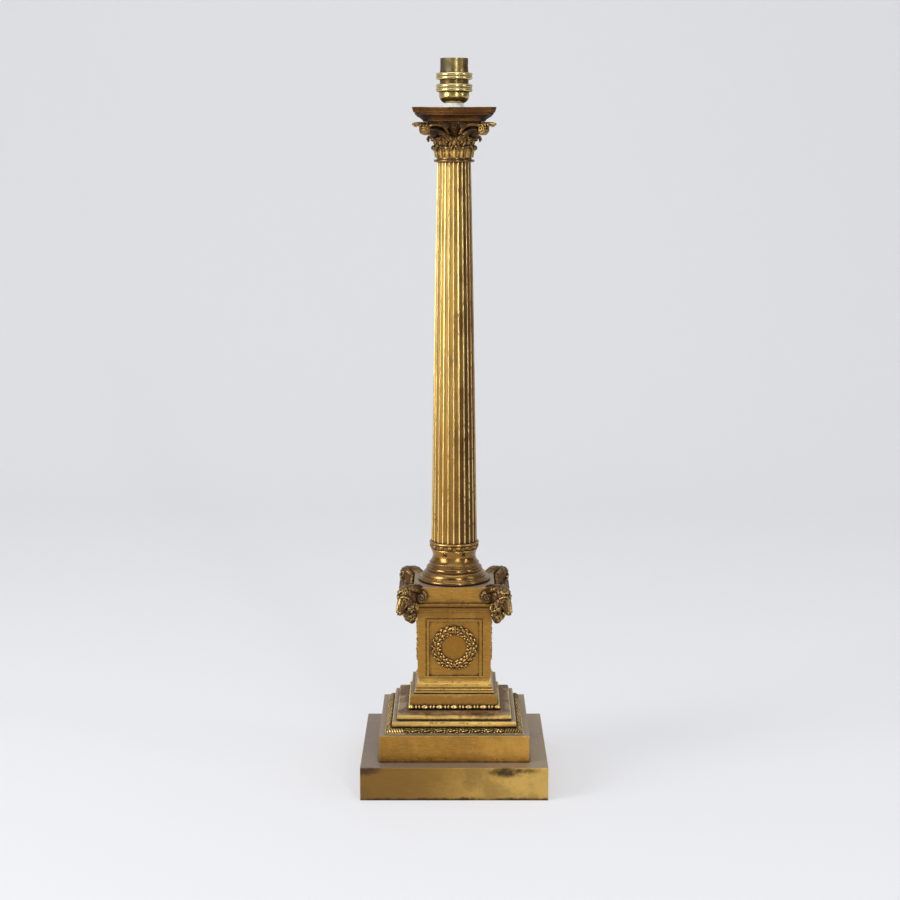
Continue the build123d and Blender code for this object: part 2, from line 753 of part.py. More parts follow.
def ram_horn(side):
    """A horn that rises from the brow and coils on the cap's face beside the corner."""
    face_turn = Rot(0, 0, side * 45)
    along = CAP_W / 2 - HORN_BACK
    coil_at = Pos(CAP_W / 2 + HORN_PROUD, -side * along, CAP_TOP - HORN_DOWN)
    outer = Torus(HORN_COIL_R, HORN_R)
    inner = Pos(0, 0, HORN_COIL_PROUD) * Torus(HORN_INNER_COIL_R, HORN_TIP_R)
    return face_turn * coil_at * Rot(0, 90, 0) * (outer + inner)


def ram_head():
    """A ram's head on the +X diagonal, cut to sit on the cap's corner and against the die."""
    brow = by_corner(FOREHEAD_OUT, 0, FOREHEAD_DOWN)
    nose = by_corner(MUZZLE_OUT, 0, MUZZLE_DOWN)
    throat = by_corner(BEARD_OUT, 0, BEARD_DOWN)
    beard = by_corner(BEARD_TIP_OUT, 0, BEARD_TIP_DOWN)
    neck = by_corner(NECK_OUT, 0, NECK_DOWN)
    nape = by_corner(-NAPE_IN, 0, NAPE_DOWN)
    skull = Pos(*by_corner(SKULL_OUT, 0, SKULL_DOWN)) * Rot(0, 90, 0)
    head = skull * spheroid(SKULL_R, SKULL_LENGTH)
    head += tapered(neck, NECK_R, nape, NAPE_R)
    head += tapered(brow, FOREHEAD_R, nose, MUZZLE_R)
    head += tapered(throat, BEARD_R, beard, BEARD_TIP_R)
    head += tapered(brow, BEARD_R, throat, BEARD_R)
    for side in (-1, 1):
        head += ram_horn(side)
        head += Pos(*by_corner(EYE_OUT, side * EYE_SIDE, EYE_DOWN)) * Sphere(EYE_R)
        cheek = by_corner(CHEEK_OUT, side * CHEEK_SIDE, CHEEK_DOWN)
        ear = by_corner(EAR_OUT, side * EAR_SIDE, EAR_DOWN)
        head += tapered(cheek, CHEEK_R, ear, EAR_R)
    head -= Rot(0, 0, 45) * cap_solid()
    head -= Rot(0, 0, 45) * slab(DIE_W, DIE_Z, DIE_H)
    head -= ram_screw(FIT_GAP)
    return max(head.solids(), key=lambda piece: piece.volume)


# ---- column ---------------------------------------------------------------------------------------------
def column_base():
    """The turned base: a rim, two toruses and a scotia below the collar."""
    fillet_z = CAP_TOP + RIM_H
    torus_z = fillet_z + RIM_FILLET_H
    upper_z = torus_z + LOWER_TORUS_H
    ledge_z = upper_z + UPPER_TORUS_H
    scotia_z = ledge_z + SCOTIA_FILLET_H
    throat_z = scotia_z + SCOTIA_H
    solid = turned(
        (0, CAP_TOP),
        (RIM_R - RIM_BULGE, CAP_TOP),
        (RIM_R - RIM_BULGE, fillet_z, RIM_BULGE),
        (RIM_FILLET_R, fillet_z),
        (RIM_FILLET_R, torus_z),
        (LOWER_TORUS_R, torus_z),
        (UPPER_TORUS_R, upper_z, LOWER_TORUS_BULGE),
        (SCOTIA_FILLET_R, ledge_z, UPPER_TORUS_BULGE),
        (SCOTIA_FILLET_R, scotia_z),
        (SCOTIA_R, throat_z, -SCOTIA_BOW),
        (SCOTIA_TOP_R, COLLAR_Z),
        (0, COLLAR_Z),
    )
    return solid - rod(SCOTIA_R - COLUMN_BASE_WALL, CAP_TOP, COLUMN_BASE_H)


def shaft_collar():
    """The ring that the shaft stands in: a band over a row of round lobes."""
    band_z = SHAFT_Z - COLLAR_BAND_H
    ring = turned(
        (0, COLLAR_Z),
        (SCOTIA_TOP_R, COLLAR_Z),
        (SHAFT_FOOT_R, band_z),
        (COLLAR_R, band_z),
        (COLLAR_R, SHAFT_Z, COLLAR_BAND_BOW),
        (0, SHAFT_Z),
    )
    lobe = Pos(COLLAR_LOBE_AT, 0, SHAFT_Z - COLLAR_LOBE_DOWN) * Sphere(COLLAR_LOBE_R)
    for index in range(COLLAR_LOBES):
        ring += Rot(0, 0, 360 / COLLAR_LOBES * (index + 0.5)) * lobe
    return ring - rod(ROD_HOLE_R, COLLAR_Z, COLLAR_H)


def shaft_radius(share):
    """The shaft's radius at a share of its height, with the slight swell of a column."""
    straight = SHAFT_FOOT_R + (SHAFT_TOP_R - SHAFT_FOOT_R) * share
    return straight + SHAFT_ENTASIS * math.sin(math.pi * share)


def fluted_section(radius):
    """A closed section with hollow flutes between narrow flat arrises."""
    step = 360 / FLUTES
    flute = step * (1 - ARRIS_SHARE)
    edges = []
    for index in range(FLUTES):
        start = index * step
        ends = [Vector(radius, 0).rotate(Axis.Z, start + turn) for turn in (0, flute, step)]
        deepest = Vector(radius * (1 - FLUTE_DEPTH_SHARE), 0).rotate(Axis.Z, start + flute / 2)
        edges.append(ThreePointArc(ends[0], deepest, ends[1]))
        edges.append(Line(ends[1], ends[2]))
    return make_face(Wire(edges))


def fluted_shaft():
    sections = []
    for station in range(SHAFT_STATIONS):
        share = station / (SHAFT_STATIONS - 1)
        section = fluted_section(shaft_radius(share))
        sections.append(Pos(0, 0, SHAFT_Z + SHAFT_H * share) * section)
    solid = loft(sections)
    foot_r = SHAFT_FOOT_R * (1 - FLUTE_DEPTH_SHARE) - SHAFT_WALL
    top_r = SHAFT_TOP_R * (1 - FLUTE_DEPTH_SHARE) - SHAFT_WALL
    return solid - Pos(0, 0, SHAFT_Z) * Cone(foot_r, top_r, SHAFT_H, align=UPWARD)


def shaft_astragal():
    """The ring between the shaft and the capital: a bead below a flat bed."""
    bead_z = ASTRAGAL_Z + ASTRAGAL_BEAD_H
    bulge = ASTRAGAL_R - ASTRAGAL_BED_R
    solid = turned(
        (0, ASTRAGAL_Z),
        (ASTRAGAL_BED_R, ASTRAGAL_Z),
        (ASTRAGAL_BED_R, bead_z, bulge),
        (BELL_WAIST_R, bead_z),
        (BELL_WAIST_R, BELL_Z),
        (0, BELL_Z),
    )
    return solid - rod(ROD_HOLE_R, ASTRAGAL_Z, ASTRAGAL_H)


# ---- capital --------------------------------------------------------------------------------------------
def bell_solid():
    waist_z = BELL_Z + BELL_WAIST_H
    lip_z = ABACUS_Z - BELL_LIP_H
    return turned(
        (0, BELL_Z),
        (BELL_FOOT_R, BELL_Z),
        (BELL_WAIST_R, waist_z),
        (BELL_LIP_R, lip_z, -BELL_BOW),
        (BELL_LIP_R, ABACUS_Z),
        (0, ABACUS_Z),
    )


def capital_bell():
    room = rod(BELL_FOOT_R - BELL_WALL, BELL_Z, BELL_H - DECK)
    return bell_solid() - room - rod(ROD_HOLE_R, BELL_Z, BELL_H)


def leaf_shape(width, bottom, top):
    """The front outline of a leaf, pushed out along +X: a pointed oval on a broad foot."""
    half = width / 2
    foot = half * LEAF_FOOT_SHARE
    tip = half * LEAF_TIP_SHARE
    middle = (bottom + top) / 2
    face = outline(
        (-foot, bottom, LEAF_EDGE_BOW),
        (foot, bottom),
        (half, middle, LEAF_EDGE_BOW),
        (tip, top, LEAF_EDGE_BOW),
        (-tip, top, LEAF_EDGE_BOW),
        (-half, middle, LEAF_EDGE_BOW),
    )
    return extrude(Plane.YZ * face, amount=ABACUS_HALF)


def capital_leaf(bottom, height, root_r, tip_r, width):
    """A leaf on the +X side that climbs the bell and curls out and down at its tip."""
    top = bottom + height
    blade = turned(
        (root_r - LEAF_THICK, bottom),
        (root_r + LEAF_THICK, bottom),
        (root_r + LEAF_THICK, top - 2 * LEAF_CURL_H),
        (tip_r - LEAF_CURL_H / 2, top - 1.5 * LEAF_CURL_H, -LEAF_CURL_BOW),
        (tip_r, top - LEAF_CURL_H / 2, LEAF_CURL_BOW),
        (root_r + LEAF_THICK, top, LEAF_CURL_BOW),
        (root_r - LEAF_THICK, top),
    )
    return (blade & leaf_shape(width, bottom, top)) - bell_solid()


def leaf_row(leaf, first_turn):
    step = 360 / LEAVES_PER_ROW
    leaf = max(leaf.solids(), key=lambda piece: piece.volume)
    return [Rot(0, 0, first_turn + step * index) * leaf for index in range(LEAVES_PER_ROW)]


def capital_lower_leaves():
    leaf = capital_leaf(BELL_Z, LOWER_LEAF_H, BELL_WAIST_R, LOWER_LEAF_TIP_R, LOWER_LEAF_W)
    return leaf_row(leaf, 180 / LEAVES_PER_ROW)


def capital_upper_leaves():
    bottom = BELL_Z + UPPER_LEAF_START
    leaf = capital_leaf(bottom, UPPER_LEAF_H, BELL_WAIST_R, UPPER_LEAF_TIP_R, UPPER_LEAF_W)
    return leaf_row(leaf, 0)


def capital_volute():
    """A corner scroll on the +X diagonal with the pointed leaf that lies over it."""
    eye_z = ABACUS_Z - VOLUTE_EYE_BELOW
    top_z = eye_z + VOLUTE_R
    root_z = BELL_Z + UPPER_LEAF_START + UPPER_LEAF_H + VOLUTE_ROOT_GAP
    scroll = Pos(VOLUTE_EYE_OUT, 0, eye_z) * Rot(90, 0, 0) * Cylinder(VOLUTE_R, VOLUTE_W)
    strap_face = outline(
        (BELL_WAIST_R, root_z),
        (VOLUTE_EYE_OUT, top_z - VOLUTE_STRAP, -VOLUTE_BOW),
        (VOLUTE_EYE_OUT, top_z),
        (BELL_WAIST_R, root_z + VOLUTE_ROOT_T, VOLUTE_BOW),
    )
    strap = extrude(Plane.XZ * strap_face, amount=VOLUTE_W / 2, both=True)
    tip_face = outline(
        (VOLUTE_EYE_OUT, -VOLUTE_W / 2),
        (VOLUTE_TIP_OUT, 0, VOLUTE_TIP_BOW),
        (VOLUTE_EYE_OUT, VOLUTE_W / 2, VOLUTE_TIP_BOW),
    )
    tip = extrude(Pos(0, 0, top_z - VOLUTE_TIP_T) * tip_face, amount=VOLUTE_TIP_T)
    solid = (scroll + strap + tip) - bell_solid()
    return max(solid.solids(), key=lambda piece: piece.volume)


def helix_eye_out():
    """How far out the helices' coils stand: just clear of the bell's lip."""
    return math.sqrt(BELL_LIP_R**2 - (HELIX_SIDE - HELIX_R) ** 2)


def capital_helices():
    """Two small coils under the middle of each side of the abacus, resting on the bell."""
    out = helix_eye_out()
    pairs = []
    for side in (-1, 1):
        place = Pos(out, side * HELIX_SIDE, ABACUS_Z - HELIX_BELOW) * Rot(0, 90, 0)
        coil = place * Pos(0, 0, -HELIX_ROOT) * Cylinder(HELIX_R, HELIX_ROOT + HELIX_T, align=UPWARD)
        solid = coil - bell_solid()
        pairs.append(max(solid.solids(), key=lambda piece: piece.center().X))
    return around(pairs)


def abacus_plan(half, sag):
    """A square with hollow sides and blunt horns."""
    end = half - ABACUS_HORN
    corners = []
    for turn in range(4):
        before = Vector(half, -end).rotate(Axis.Z, 90 * turn)
        after = Vector(half, end).rotate(Axis.Z, 90 * turn)
        corners += [(before.X, before.Y), (after.X, after.Y, -sag)]
    return outline(*corners)


def abacus_level(inset, z):
    """The abacus's plan at a height, set in from its widest by a distance at the horns."""
    share = inset / (ABACUS_HALF - ABACUS_FOOT_HALF)
    sag = ABACUS_SAG + (ABACUS_FOOT_SAG - ABACUS_SAG) * share
    return Pos(0, 0, z) * abacus_plan(ABACUS_HALF - inset, sag)


def abacus():
    """A hollow underside that widens upwards along a quarter wave, a fillet and a slanting fascia."""
    fillet_z = ABACUS_Z + ABACUS_COVE_H
    fascia_z = fillet_z + ABACUS_FILLET_H
    foot_inset = ABACUS_HALF - ABACUS_FOOT_HALF
    cove = []
    for step in range(ABACUS_STEPS + 1):
        share = step / ABACUS_STEPS
        inset = ABACUS_COVE_INSET + (foot_inset - ABACUS_COVE_INSET) * math.cos(share * math.pi / 2)
        cove.append(abacus_level(inset, ABACUS_Z + ABACUS_COVE_H * share))
    solid = loft(cove, ruled=True)
    solid += extrude(abacus_level(ABACUS_COVE_INSET, fillet_z), amount=ABACUS_FILLET_H)
    solid += loft([abacus_level(ABACUS_SLANT, fascia_z), abacus_level(0, ABACUS_TOP)], ruled=True)
    return solid - rod(ROD_HOLE_R, ABACUS_Z, ABACUS_TOP - ABACUS_Z)


def abacus_flowers():
    """A small flower under the middle of each side of the abacus, on the bell's lip."""
    flower_z = ABACUS_Z - FLOWER_BELOW
    flower = Pos(0, 0, -BELL_LIP_R) * Cylinder(FLOWER_STALK_R, BELL_LIP_R, align=UPWARD)
    flower += Sphere(FLOWER_HEART_R)
    for index in range(FLOWER_PETALS):
        petal = Pos(FLOWER_R - FLOWER_PETAL_R, 0, 0) * Sphere(FLOWER_PETAL_R)
        flower += Rot(0, 0, 360 / FLOWER_PETALS * index) * petal
    solid = Pos(BELL_LIP_R + FLOWER_PROUD, 0, flower_z) * Rot(0, 90, 0) * flower - bell_solid()
    return fourfold(max(solid.solids(), key=lambda piece: piece.center().X))


# ---- tie rod --------------------------------------------------------------------------------------------
WASHER_Z = PLINTH_H - DECK - WASHER_T
NUT_Z = WASHER_Z - NUT_H
ROD_FOOT = NUT_Z - ROD_TAIL
ROD_TOP = HOLDER_CAP_Z + HOLDER_CAP_H / 2


def tie_rod():
    length = ROD_TOP - ROD_FOOT
    return rod(ROD_R, ROD_FOOT, length) - rod(ROD_BORE_R, ROD_FOOT, length)


def rod_washer():
    return rod(WASHER_R, WASHER_Z, WASHER_T) - rod(ROD_HOLE_R, WASHER_Z, WASHER_T)


# ---- lampholder -----------------------------------------------------------------------------------------
def seat_filler():
    """The white bedding that hides the lock nut between the abacus and the lampholder."""
    mound = turned(
        (0, ABACUS_TOP),
        (FILLER_R, ABACUS_TOP),
        (FILLER_TOP_R, HOLDER_CAP_Z, FILLER_BOW),
        (0, HOLDER_CAP_Z),
    )
    nut = rod(LOCKNUT_FLATS / math.sqrt(3) + FIT_GAP, ABACUS_TOP, LOCKNUT_H)
    return mound - nut - rod(ROD_R + FIT_GAP, ABACUS_TOP, FILLER_H)


CAP_LEDGE_R = BARREL_LOWER_R - HOLDER_LEDGE


def lampholder_cap():
    """The domed cap that screws onto the tie rod and carries the lampholder."""
    rim_z = HOLDER_Z - HOLDER_CAP_RIM_H
    dome = turned(
        (0, HOLDER_CAP_Z),
        (HOLDER_CAP_FOOT_R, HOLDER_CAP_Z),
        (HOLDER_CAP_R, rim_z, HOLDER_CAP_BULGE),
        (HOLDER_CAP_R, HOLDER_Z),
        (0, HOLDER_Z),
    )
    room = turned(
        (0, ROD_TOP),
        (HOLDER_CAP_FOOT_R - HOLDER_CAP_WALL, ROD_TOP),
        (CAP_LEDGE_R, rim_z),
        (CAP_LEDGE_R, HOLDER_Z),
        (0, HOLDER_Z),
    )
    return dome - room - rod(ROD_R + FIT_GAP, HOLDER_CAP_Z, HOLDER_CAP_H) - grub_screw(FIT_GAP)


def grub_screw(gap):
    """The small screw in the back of the cap's foot, or with a gap its hole, open to the outside."""
    length = HOLDER_CAP_R if gap else GRUB_L
    return Pos(0, ROD_R + FIT_GAP, HOLDER_CAP_Z + GRUB_UP) * Rot(-90, 0, 0) * Cylinder(
        GRUB_R + gap, length, align=UPWARD
    )


def bayonet_slots():
    """The two hooked slots in the mouth that take a bulb's pins."""
    long_way = 3 * HOLDER_SEAT_R
    slot_at = Pos(0, 0, HOLDER_TOP - SLOT_DEPTH)
    down = slot_at * Box(long_way, SLOT_W, 2 * SLOT_DEPTH, align=UPWARD)
    foot = Pos(0, (SLOT_W - SLOT_FOOT_W) / 2, 0) * Box(
        long_way / 2, SLOT_FOOT_W, SLOT_W, align=(Align.MIN, Align.CENTER, Align.MIN)
    )
    return down + slot_at * foot + Rot(0, 0, 180) * slot_at * foot


SEAT_Z = LOWER_RING_TOP + SEAT_MARGIN
SEAT_TOP = UPPER_RING_Z - SEAT_MARGIN
SKIRT_FOOT_Z = UPPER_RING_Z + UPPER_RING_H


def lampholder_skirt():
    """The outer sleeve: threads for the two shade rings, the plain seat between them, and the mouth."""
    solid = turned(
        (0, HOLDER_Z),
        (HOLDER_THREAD_R, HOLDER_Z),
        (HOLDER_THREAD_R, SEAT_Z),
        (HOLDER_SEAT_R, SEAT_Z),
        (HOLDER_SEAT_R, SEAT_TOP),
        (HOLDER_THREAD_R, SEAT_TOP),
        (HOLDER_THREAD_R, SKIRT_FOOT_Z),
        (HOLDER_SKIRT_FOOT_R, SKIRT_FOOT_Z),
        (HOLDER_MOUTH_R, SKIRT_FOOT_Z + HOLDER_SKIRT_FOOT_H, -HOLDER_SKIRT_BOW),
        (HOLDER_MOUTH_R, HOLDER_TOP),
        (0, HOLDER_TOP),
    )
    return solid - rod(BARREL_R + BARREL_WALL_GAP, HOLDER_Z, HOLDER_H) - bayonet_slots()


def lampholder_barrel():
    """The inner sleeve that takes the bulb's cap above and the insulator below."""
    top = HOLDER_TOP - BARREL_RECESS
    step_z = top - BULB_DEPTH
    solid = rod(BARREL_R, HOLDER_Z, top - HOLDER_Z)
    solid -= rod(BULB_R, step_z, BULB_DEPTH)
    solid -= rod(BARREL_LOWER_R, HOLDER_Z, step_z - HOLDER_Z)
    return solid - bayonet_slots()


def plunger_places():
    return [Pos(side * PLUNGER_SPACING / 2, 0, 0) for side in (-1, 1)]


COLLAR_TOP = INSULATOR_TOP - PLUNGER_COLLAR_DOWN
SPRING_TOP = COLLAR_TOP - PLUNGER_COLLAR_T
SPRING_Z = SPRING_TOP - SPRING_H


def lampholder_insulator():
    """The porcelain block with its two stepped bores."""
    solid = rod(BARREL_LOWER_R - INSULATOR_GAP, HOLDER_Z, INSULATOR_H)
    bore = rod(PLUNGER_R + PLUNGER_GAP, HOLDER_Z, INSULATOR_H)
    bore += rod(PLUNGER_COLLAR_R + PLUNGER_COLLAR_GAP, HOLDER_Z, COLLAR_TOP - HOLDER_Z)
    for place in plunger_places():
        solid -= place * bore
    return solid


def plunger():
    top = INSULATOR_TOP + PLUNGER_PROUD
    collar = rod(PLUNGER_COLLAR_R, SPRING_TOP, PLUNGER_COLLAR_T)
    pin = rod(PLUNGER_R, SPRING_TOP, top - SPRING_TOP)
    pin = fillet(pin.edges().group_by(Axis.Z)[-1], PLUNGER_TIP_FILLET)
    return collar + pin


def plunger_spring():
    return rod(SPRING_R, SPRING_Z, SPRING_H) - rod(SPRING_R - SPRING_WIRE, SPRING_Z, SPRING_H)


def terminal_screw(gap):
    length = TERMINAL_R + TERMINAL_SCREW_REACH
    shank = Rot(90, 0, 0) * Cylinder(TERMINAL_SCREW_R + gap, length, align=UPWARD)
    return Pos(0, 0, HOLDER_Z - TERMINAL_H / 2) * shank


def terminal():
    """A brass post that closes the foot of a plunger's bore and clamps its wire."""
    post = rod(TERMINAL_R, HOLDER_Z - TERMINAL_H, TERMINAL_H)
    return post + rod(PLUNGER_COLLAR_R, HOLDER_Z, SPRING_Z - HOLDER_Z) - terminal_screw(FIT_GAP)


def shade_ring(bottom, height):
    """A ring nut for a lampshade: two beads with a groove between them."""
    bead = height / 2
    solid = turned(
        (0, bottom),
        (RING_BODY_R, bottom),
        (RING_BODY_R, bottom + bead, RING_R - RING_BODY_R),
        (RING_BODY_R, bottom + height, RING_R - RING_BODY_R),
        (0, bottom + height),
    )
    return solid - rod(HOLDER_SEAT_R + RING_GAP, bottom, height)


# ---- the lamp -------------------------------------------------------------------------------------------
os.makedirs("parts", exist_ok=True)

write("felt_pad", felt_pad())
write("base_cover", base_cover())
write("cover_screws", at_bosses(cover_screw(0)))
write("plinth", plinth())
write("cable_bush", cable_bush())
write("step_block", step_block())
write("leaf_moulding", leaf_moulding())
write("ogee_moulding", ogee_moulding())
write("bead_moulding", bead_moulding())
write("pedestal_base", pedestal_base())
write("pedestal_die", pedestal_die())
write("pedestal_cap", pedestal_cap())

for name, copy in zip(("front", "right", "back", "left"), fourfold(front_wreath())):
    write(f"wreath_{name}", copy)
write("wreath_studs", around(wreath_studs(0)))

heads = fourfold(Rot(0, 0, 45) * ram_head())
for name, copy in zip(("back_right", "back_left", "front_left", "front_right"), heads):
    write(f"ram_head_{name}", copy)
write("ram_screws", fourfold(Rot(0, 0, 45) * ram_screw(0)))

write("column_base", column_base())
write("shaft_collar", shaft_collar())
write("fluted_shaft", fluted_shaft())
write("shaft_astragal", shaft_astragal())
write("capital_bell", capital_bell())
write("capital_lower_leaves", capital_lower_leaves())
write("capital_upper_leaves", capital_upper_leaves())
write("capital_volutes", fourfold(Rot(0, 0, 45) * capital_volute()))
write("capital_helices", capital_helices())
write("abacus", abacus())
write("abacus_flowers", abacus_flowers())

write("tie_rod", tie_rod())
write("rod_washer", rod_washer())
write("rod_nut", hexagon_nut(NUT_FLATS, NUT_Z, NUT_H))
write("rod_locknut", hexagon_nut(LOCKNUT_FLATS, ABACUS_TOP, LOCKNUT_H))

write("seat_filler", seat_filler())
write("lampholder_cap", lampholder_cap())
write("lampholder_grub_screw", grub_screw(0))
write("lampholder_skirt", lampholder_skirt())
write("lampholder_barrel", lampholder_barrel())
write("lampholder_insulator", lampholder_insulator())
write("lower_shade_ring", shade_ring(HOLDER_Z, RING_H))
write("upper_shade_ring", shade_ring(UPPER_RING_Z, UPPER_RING_H))
for name, place in zip(("left", "right"), plunger_places()):
    write(f"plunger_{name}", place * plunger())
    write(f"plunger_spring_{name}", place * plunger_spring())
write("terminals", [place * terminal() for place in plunger_places()])
write("terminal_screws", [place * terminal_screw(0) for place in plunger_places()])
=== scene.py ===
import json
import math
import random

import bpy
import numpy as np
from mathutils import Matrix, Vector, noise


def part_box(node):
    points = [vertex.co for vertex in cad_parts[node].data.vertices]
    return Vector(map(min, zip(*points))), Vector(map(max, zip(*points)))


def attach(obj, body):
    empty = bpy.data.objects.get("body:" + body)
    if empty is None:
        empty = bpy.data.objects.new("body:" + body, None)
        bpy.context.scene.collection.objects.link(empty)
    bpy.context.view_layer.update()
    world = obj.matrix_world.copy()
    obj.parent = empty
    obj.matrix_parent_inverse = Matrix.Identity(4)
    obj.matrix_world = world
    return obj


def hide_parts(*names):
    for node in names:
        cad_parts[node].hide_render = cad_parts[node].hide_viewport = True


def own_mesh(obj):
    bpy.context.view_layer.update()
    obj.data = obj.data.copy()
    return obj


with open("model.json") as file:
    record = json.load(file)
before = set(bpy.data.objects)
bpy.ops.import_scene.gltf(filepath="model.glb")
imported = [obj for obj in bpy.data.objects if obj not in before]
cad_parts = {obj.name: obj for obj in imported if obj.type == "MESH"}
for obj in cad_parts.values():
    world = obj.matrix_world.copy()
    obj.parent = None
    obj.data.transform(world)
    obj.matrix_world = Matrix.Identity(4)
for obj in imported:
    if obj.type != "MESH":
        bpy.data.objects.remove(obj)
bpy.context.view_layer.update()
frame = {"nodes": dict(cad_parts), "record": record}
scene = bpy.context.scene
nodes = frame["nodes"]

MM = 0.001
QUARTERS = range(4)
AHEAD = (1, 0, 0)
ASIDE = (0, 1, 0)
UP = (0, 0, 1)

# Without a seed, noise_vector differs from run to run.
NOISE_SEED = 7
noise.seed_set(NOISE_SEED)


# ---- materials ----
# Lengths are in millimetres and colours are linear.
REGION_RAGGED = 5.0
REGION_RAGGED_SHARE = 0.35
EDGE_R = 0.45
CLOUD_DEPTH = 0.25
LINE_DEPTH = 0.05
GRAIN_DEPTH = 0.03
DULL_ROUGH = 0.62
RUBBED_ROUGH = 0.25


class Tree:
    """A node tree, with short calls for the nodes used here."""

    def __init__(self, tree):
        self.tree = tree

    def node(self, kind, **settings):
        made = self.tree.nodes.new(kind)
        for key, value in settings.items():
            setattr(made, key, value)
        return made

    def link(self, source, target):
        self.tree.links.new(source, target)

    def feed(self, target, value):
        if isinstance(value, bpy.types.NodeSocket):
            self.link(value, target)
        else:
            target.default_value = value

    def ramp(self, value, low, high, to_low=0.0, to_high=1.0):
        made = self.node("ShaderNodeMapRange")
        made.interpolation_type = "SMOOTHSTEP"
        for key, number in zip(("From Min", "From Max", "To Min", "To Max"), (low, high, to_low, to_high)):
            made.inputs[key].default_value = number
        self.link(value, made.inputs["Value"])
        return made.outputs["Result"]

    def math(self, operation, a, b=0.0):
        made = self.node("ShaderNodeMath", operation=operation)
        self.feed(made.inputs[0], a)
        self.feed(made.inputs[1], b)
        return made.outputs[0]


class Skin(Tree):
    """A material's tree, with its shader and its textures in the lamp's own metres."""

    def __init__(self, name):
        self.material = bpy.data.materials.new(name)
        self.material.use_nodes = True
        super().__init__(self.material.node_tree)
        self.tree.nodes.clear()
        self.out = self.node("ShaderNodeOutputMaterial")
        self.bsdf = self.node("ShaderNodeBsdfPrincipled")
        self.link(self.bsdf.outputs[0], self.out.inputs["Surface"])
        self.place = self.node("ShaderNodeTexCoord").outputs["Object"]

    def stretched(self, scale):
        mapping = self.node("ShaderNodeMapping")
        mapping.inputs["Scale"].default_value = scale
        self.link(self.place, mapping.inputs["Vector"])
        return mapping.outputs[0]

    def noise(self, per_metre, detail=3.0, rough=0.55, stretch=(1, 1, 1)):
        made = self.node("ShaderNodeTexNoise")
        made.inputs["Scale"].default_value = per_metre
        made.inputs["Detail"].default_value = detail
        made.inputs["Roughness"].default_value = rough
        self.link(self.stretched(stretch), made.inputs["Vector"])
        return made.outputs["Fac"]

    def mix(self, share, a, b):
        made = self.node("ShaderNodeMix", data_type="RGBA")
        self.feed(made.inputs["Factor"], share)
        self.feed(made.inputs[6], (*a, 1) if isinstance(a, tuple) else a)
        self.feed(made.inputs[7], (*b, 1) if isinstance(b, tuple) else b)
        return made.outputs[2]

    def blend(self, share, a, b):
        made = self.node("ShaderNodeMix", data_type="FLOAT")
        self.feed(made.inputs["Factor"], share)
        self.feed(made.inputs[2], a)
        self.feed(made.inputs[3], b)
        return made.outputs[0]

    def region(self, centre, radii, ragged, fine):
        """1 inside an egg-shaped region given in millimetres, 0 outside, with a soft and ragged edge."""
        mapping = self.node("ShaderNodeMapping")
        mapping.inputs["Scale"].default_value = [1 / (r * MM) for r in radii]
        mapping.inputs["Location"].default_value = [-c / r for c, r in zip(centre, radii)]
        self.link(self.place, mapping.inputs["Vector"])
        far = self.node("ShaderNodeVectorMath", operation="LENGTH")
        self.link(mapping.outputs[0], far.inputs[0])
        wide = min(REGION_RAGGED_SHARE, REGION_RAGGED / min(radii))
        far = self.math("ADD", far.outputs["Value"], self.ramp(ragged, 0.3, 0.7, -wide, wide))
        far = self.math("ADD", far, self.ramp(fine, 0.3, 0.7, -0.5 * wide, 0.5 * wide))
        return self.ramp(far, 1.2, 0.35)

    def bump(self, height, depth_mm, normal=None):
        made = self.node("ShaderNodeBump")
        made.inputs["Strength"].default_value = 1.0
        made.inputs["Distance"].default_value = depth_mm * MM
        self.link(height, made.inputs["Height"])
        if normal:
            self.link(normal, made.inputs["Normal"])
        return made.outputs[0]


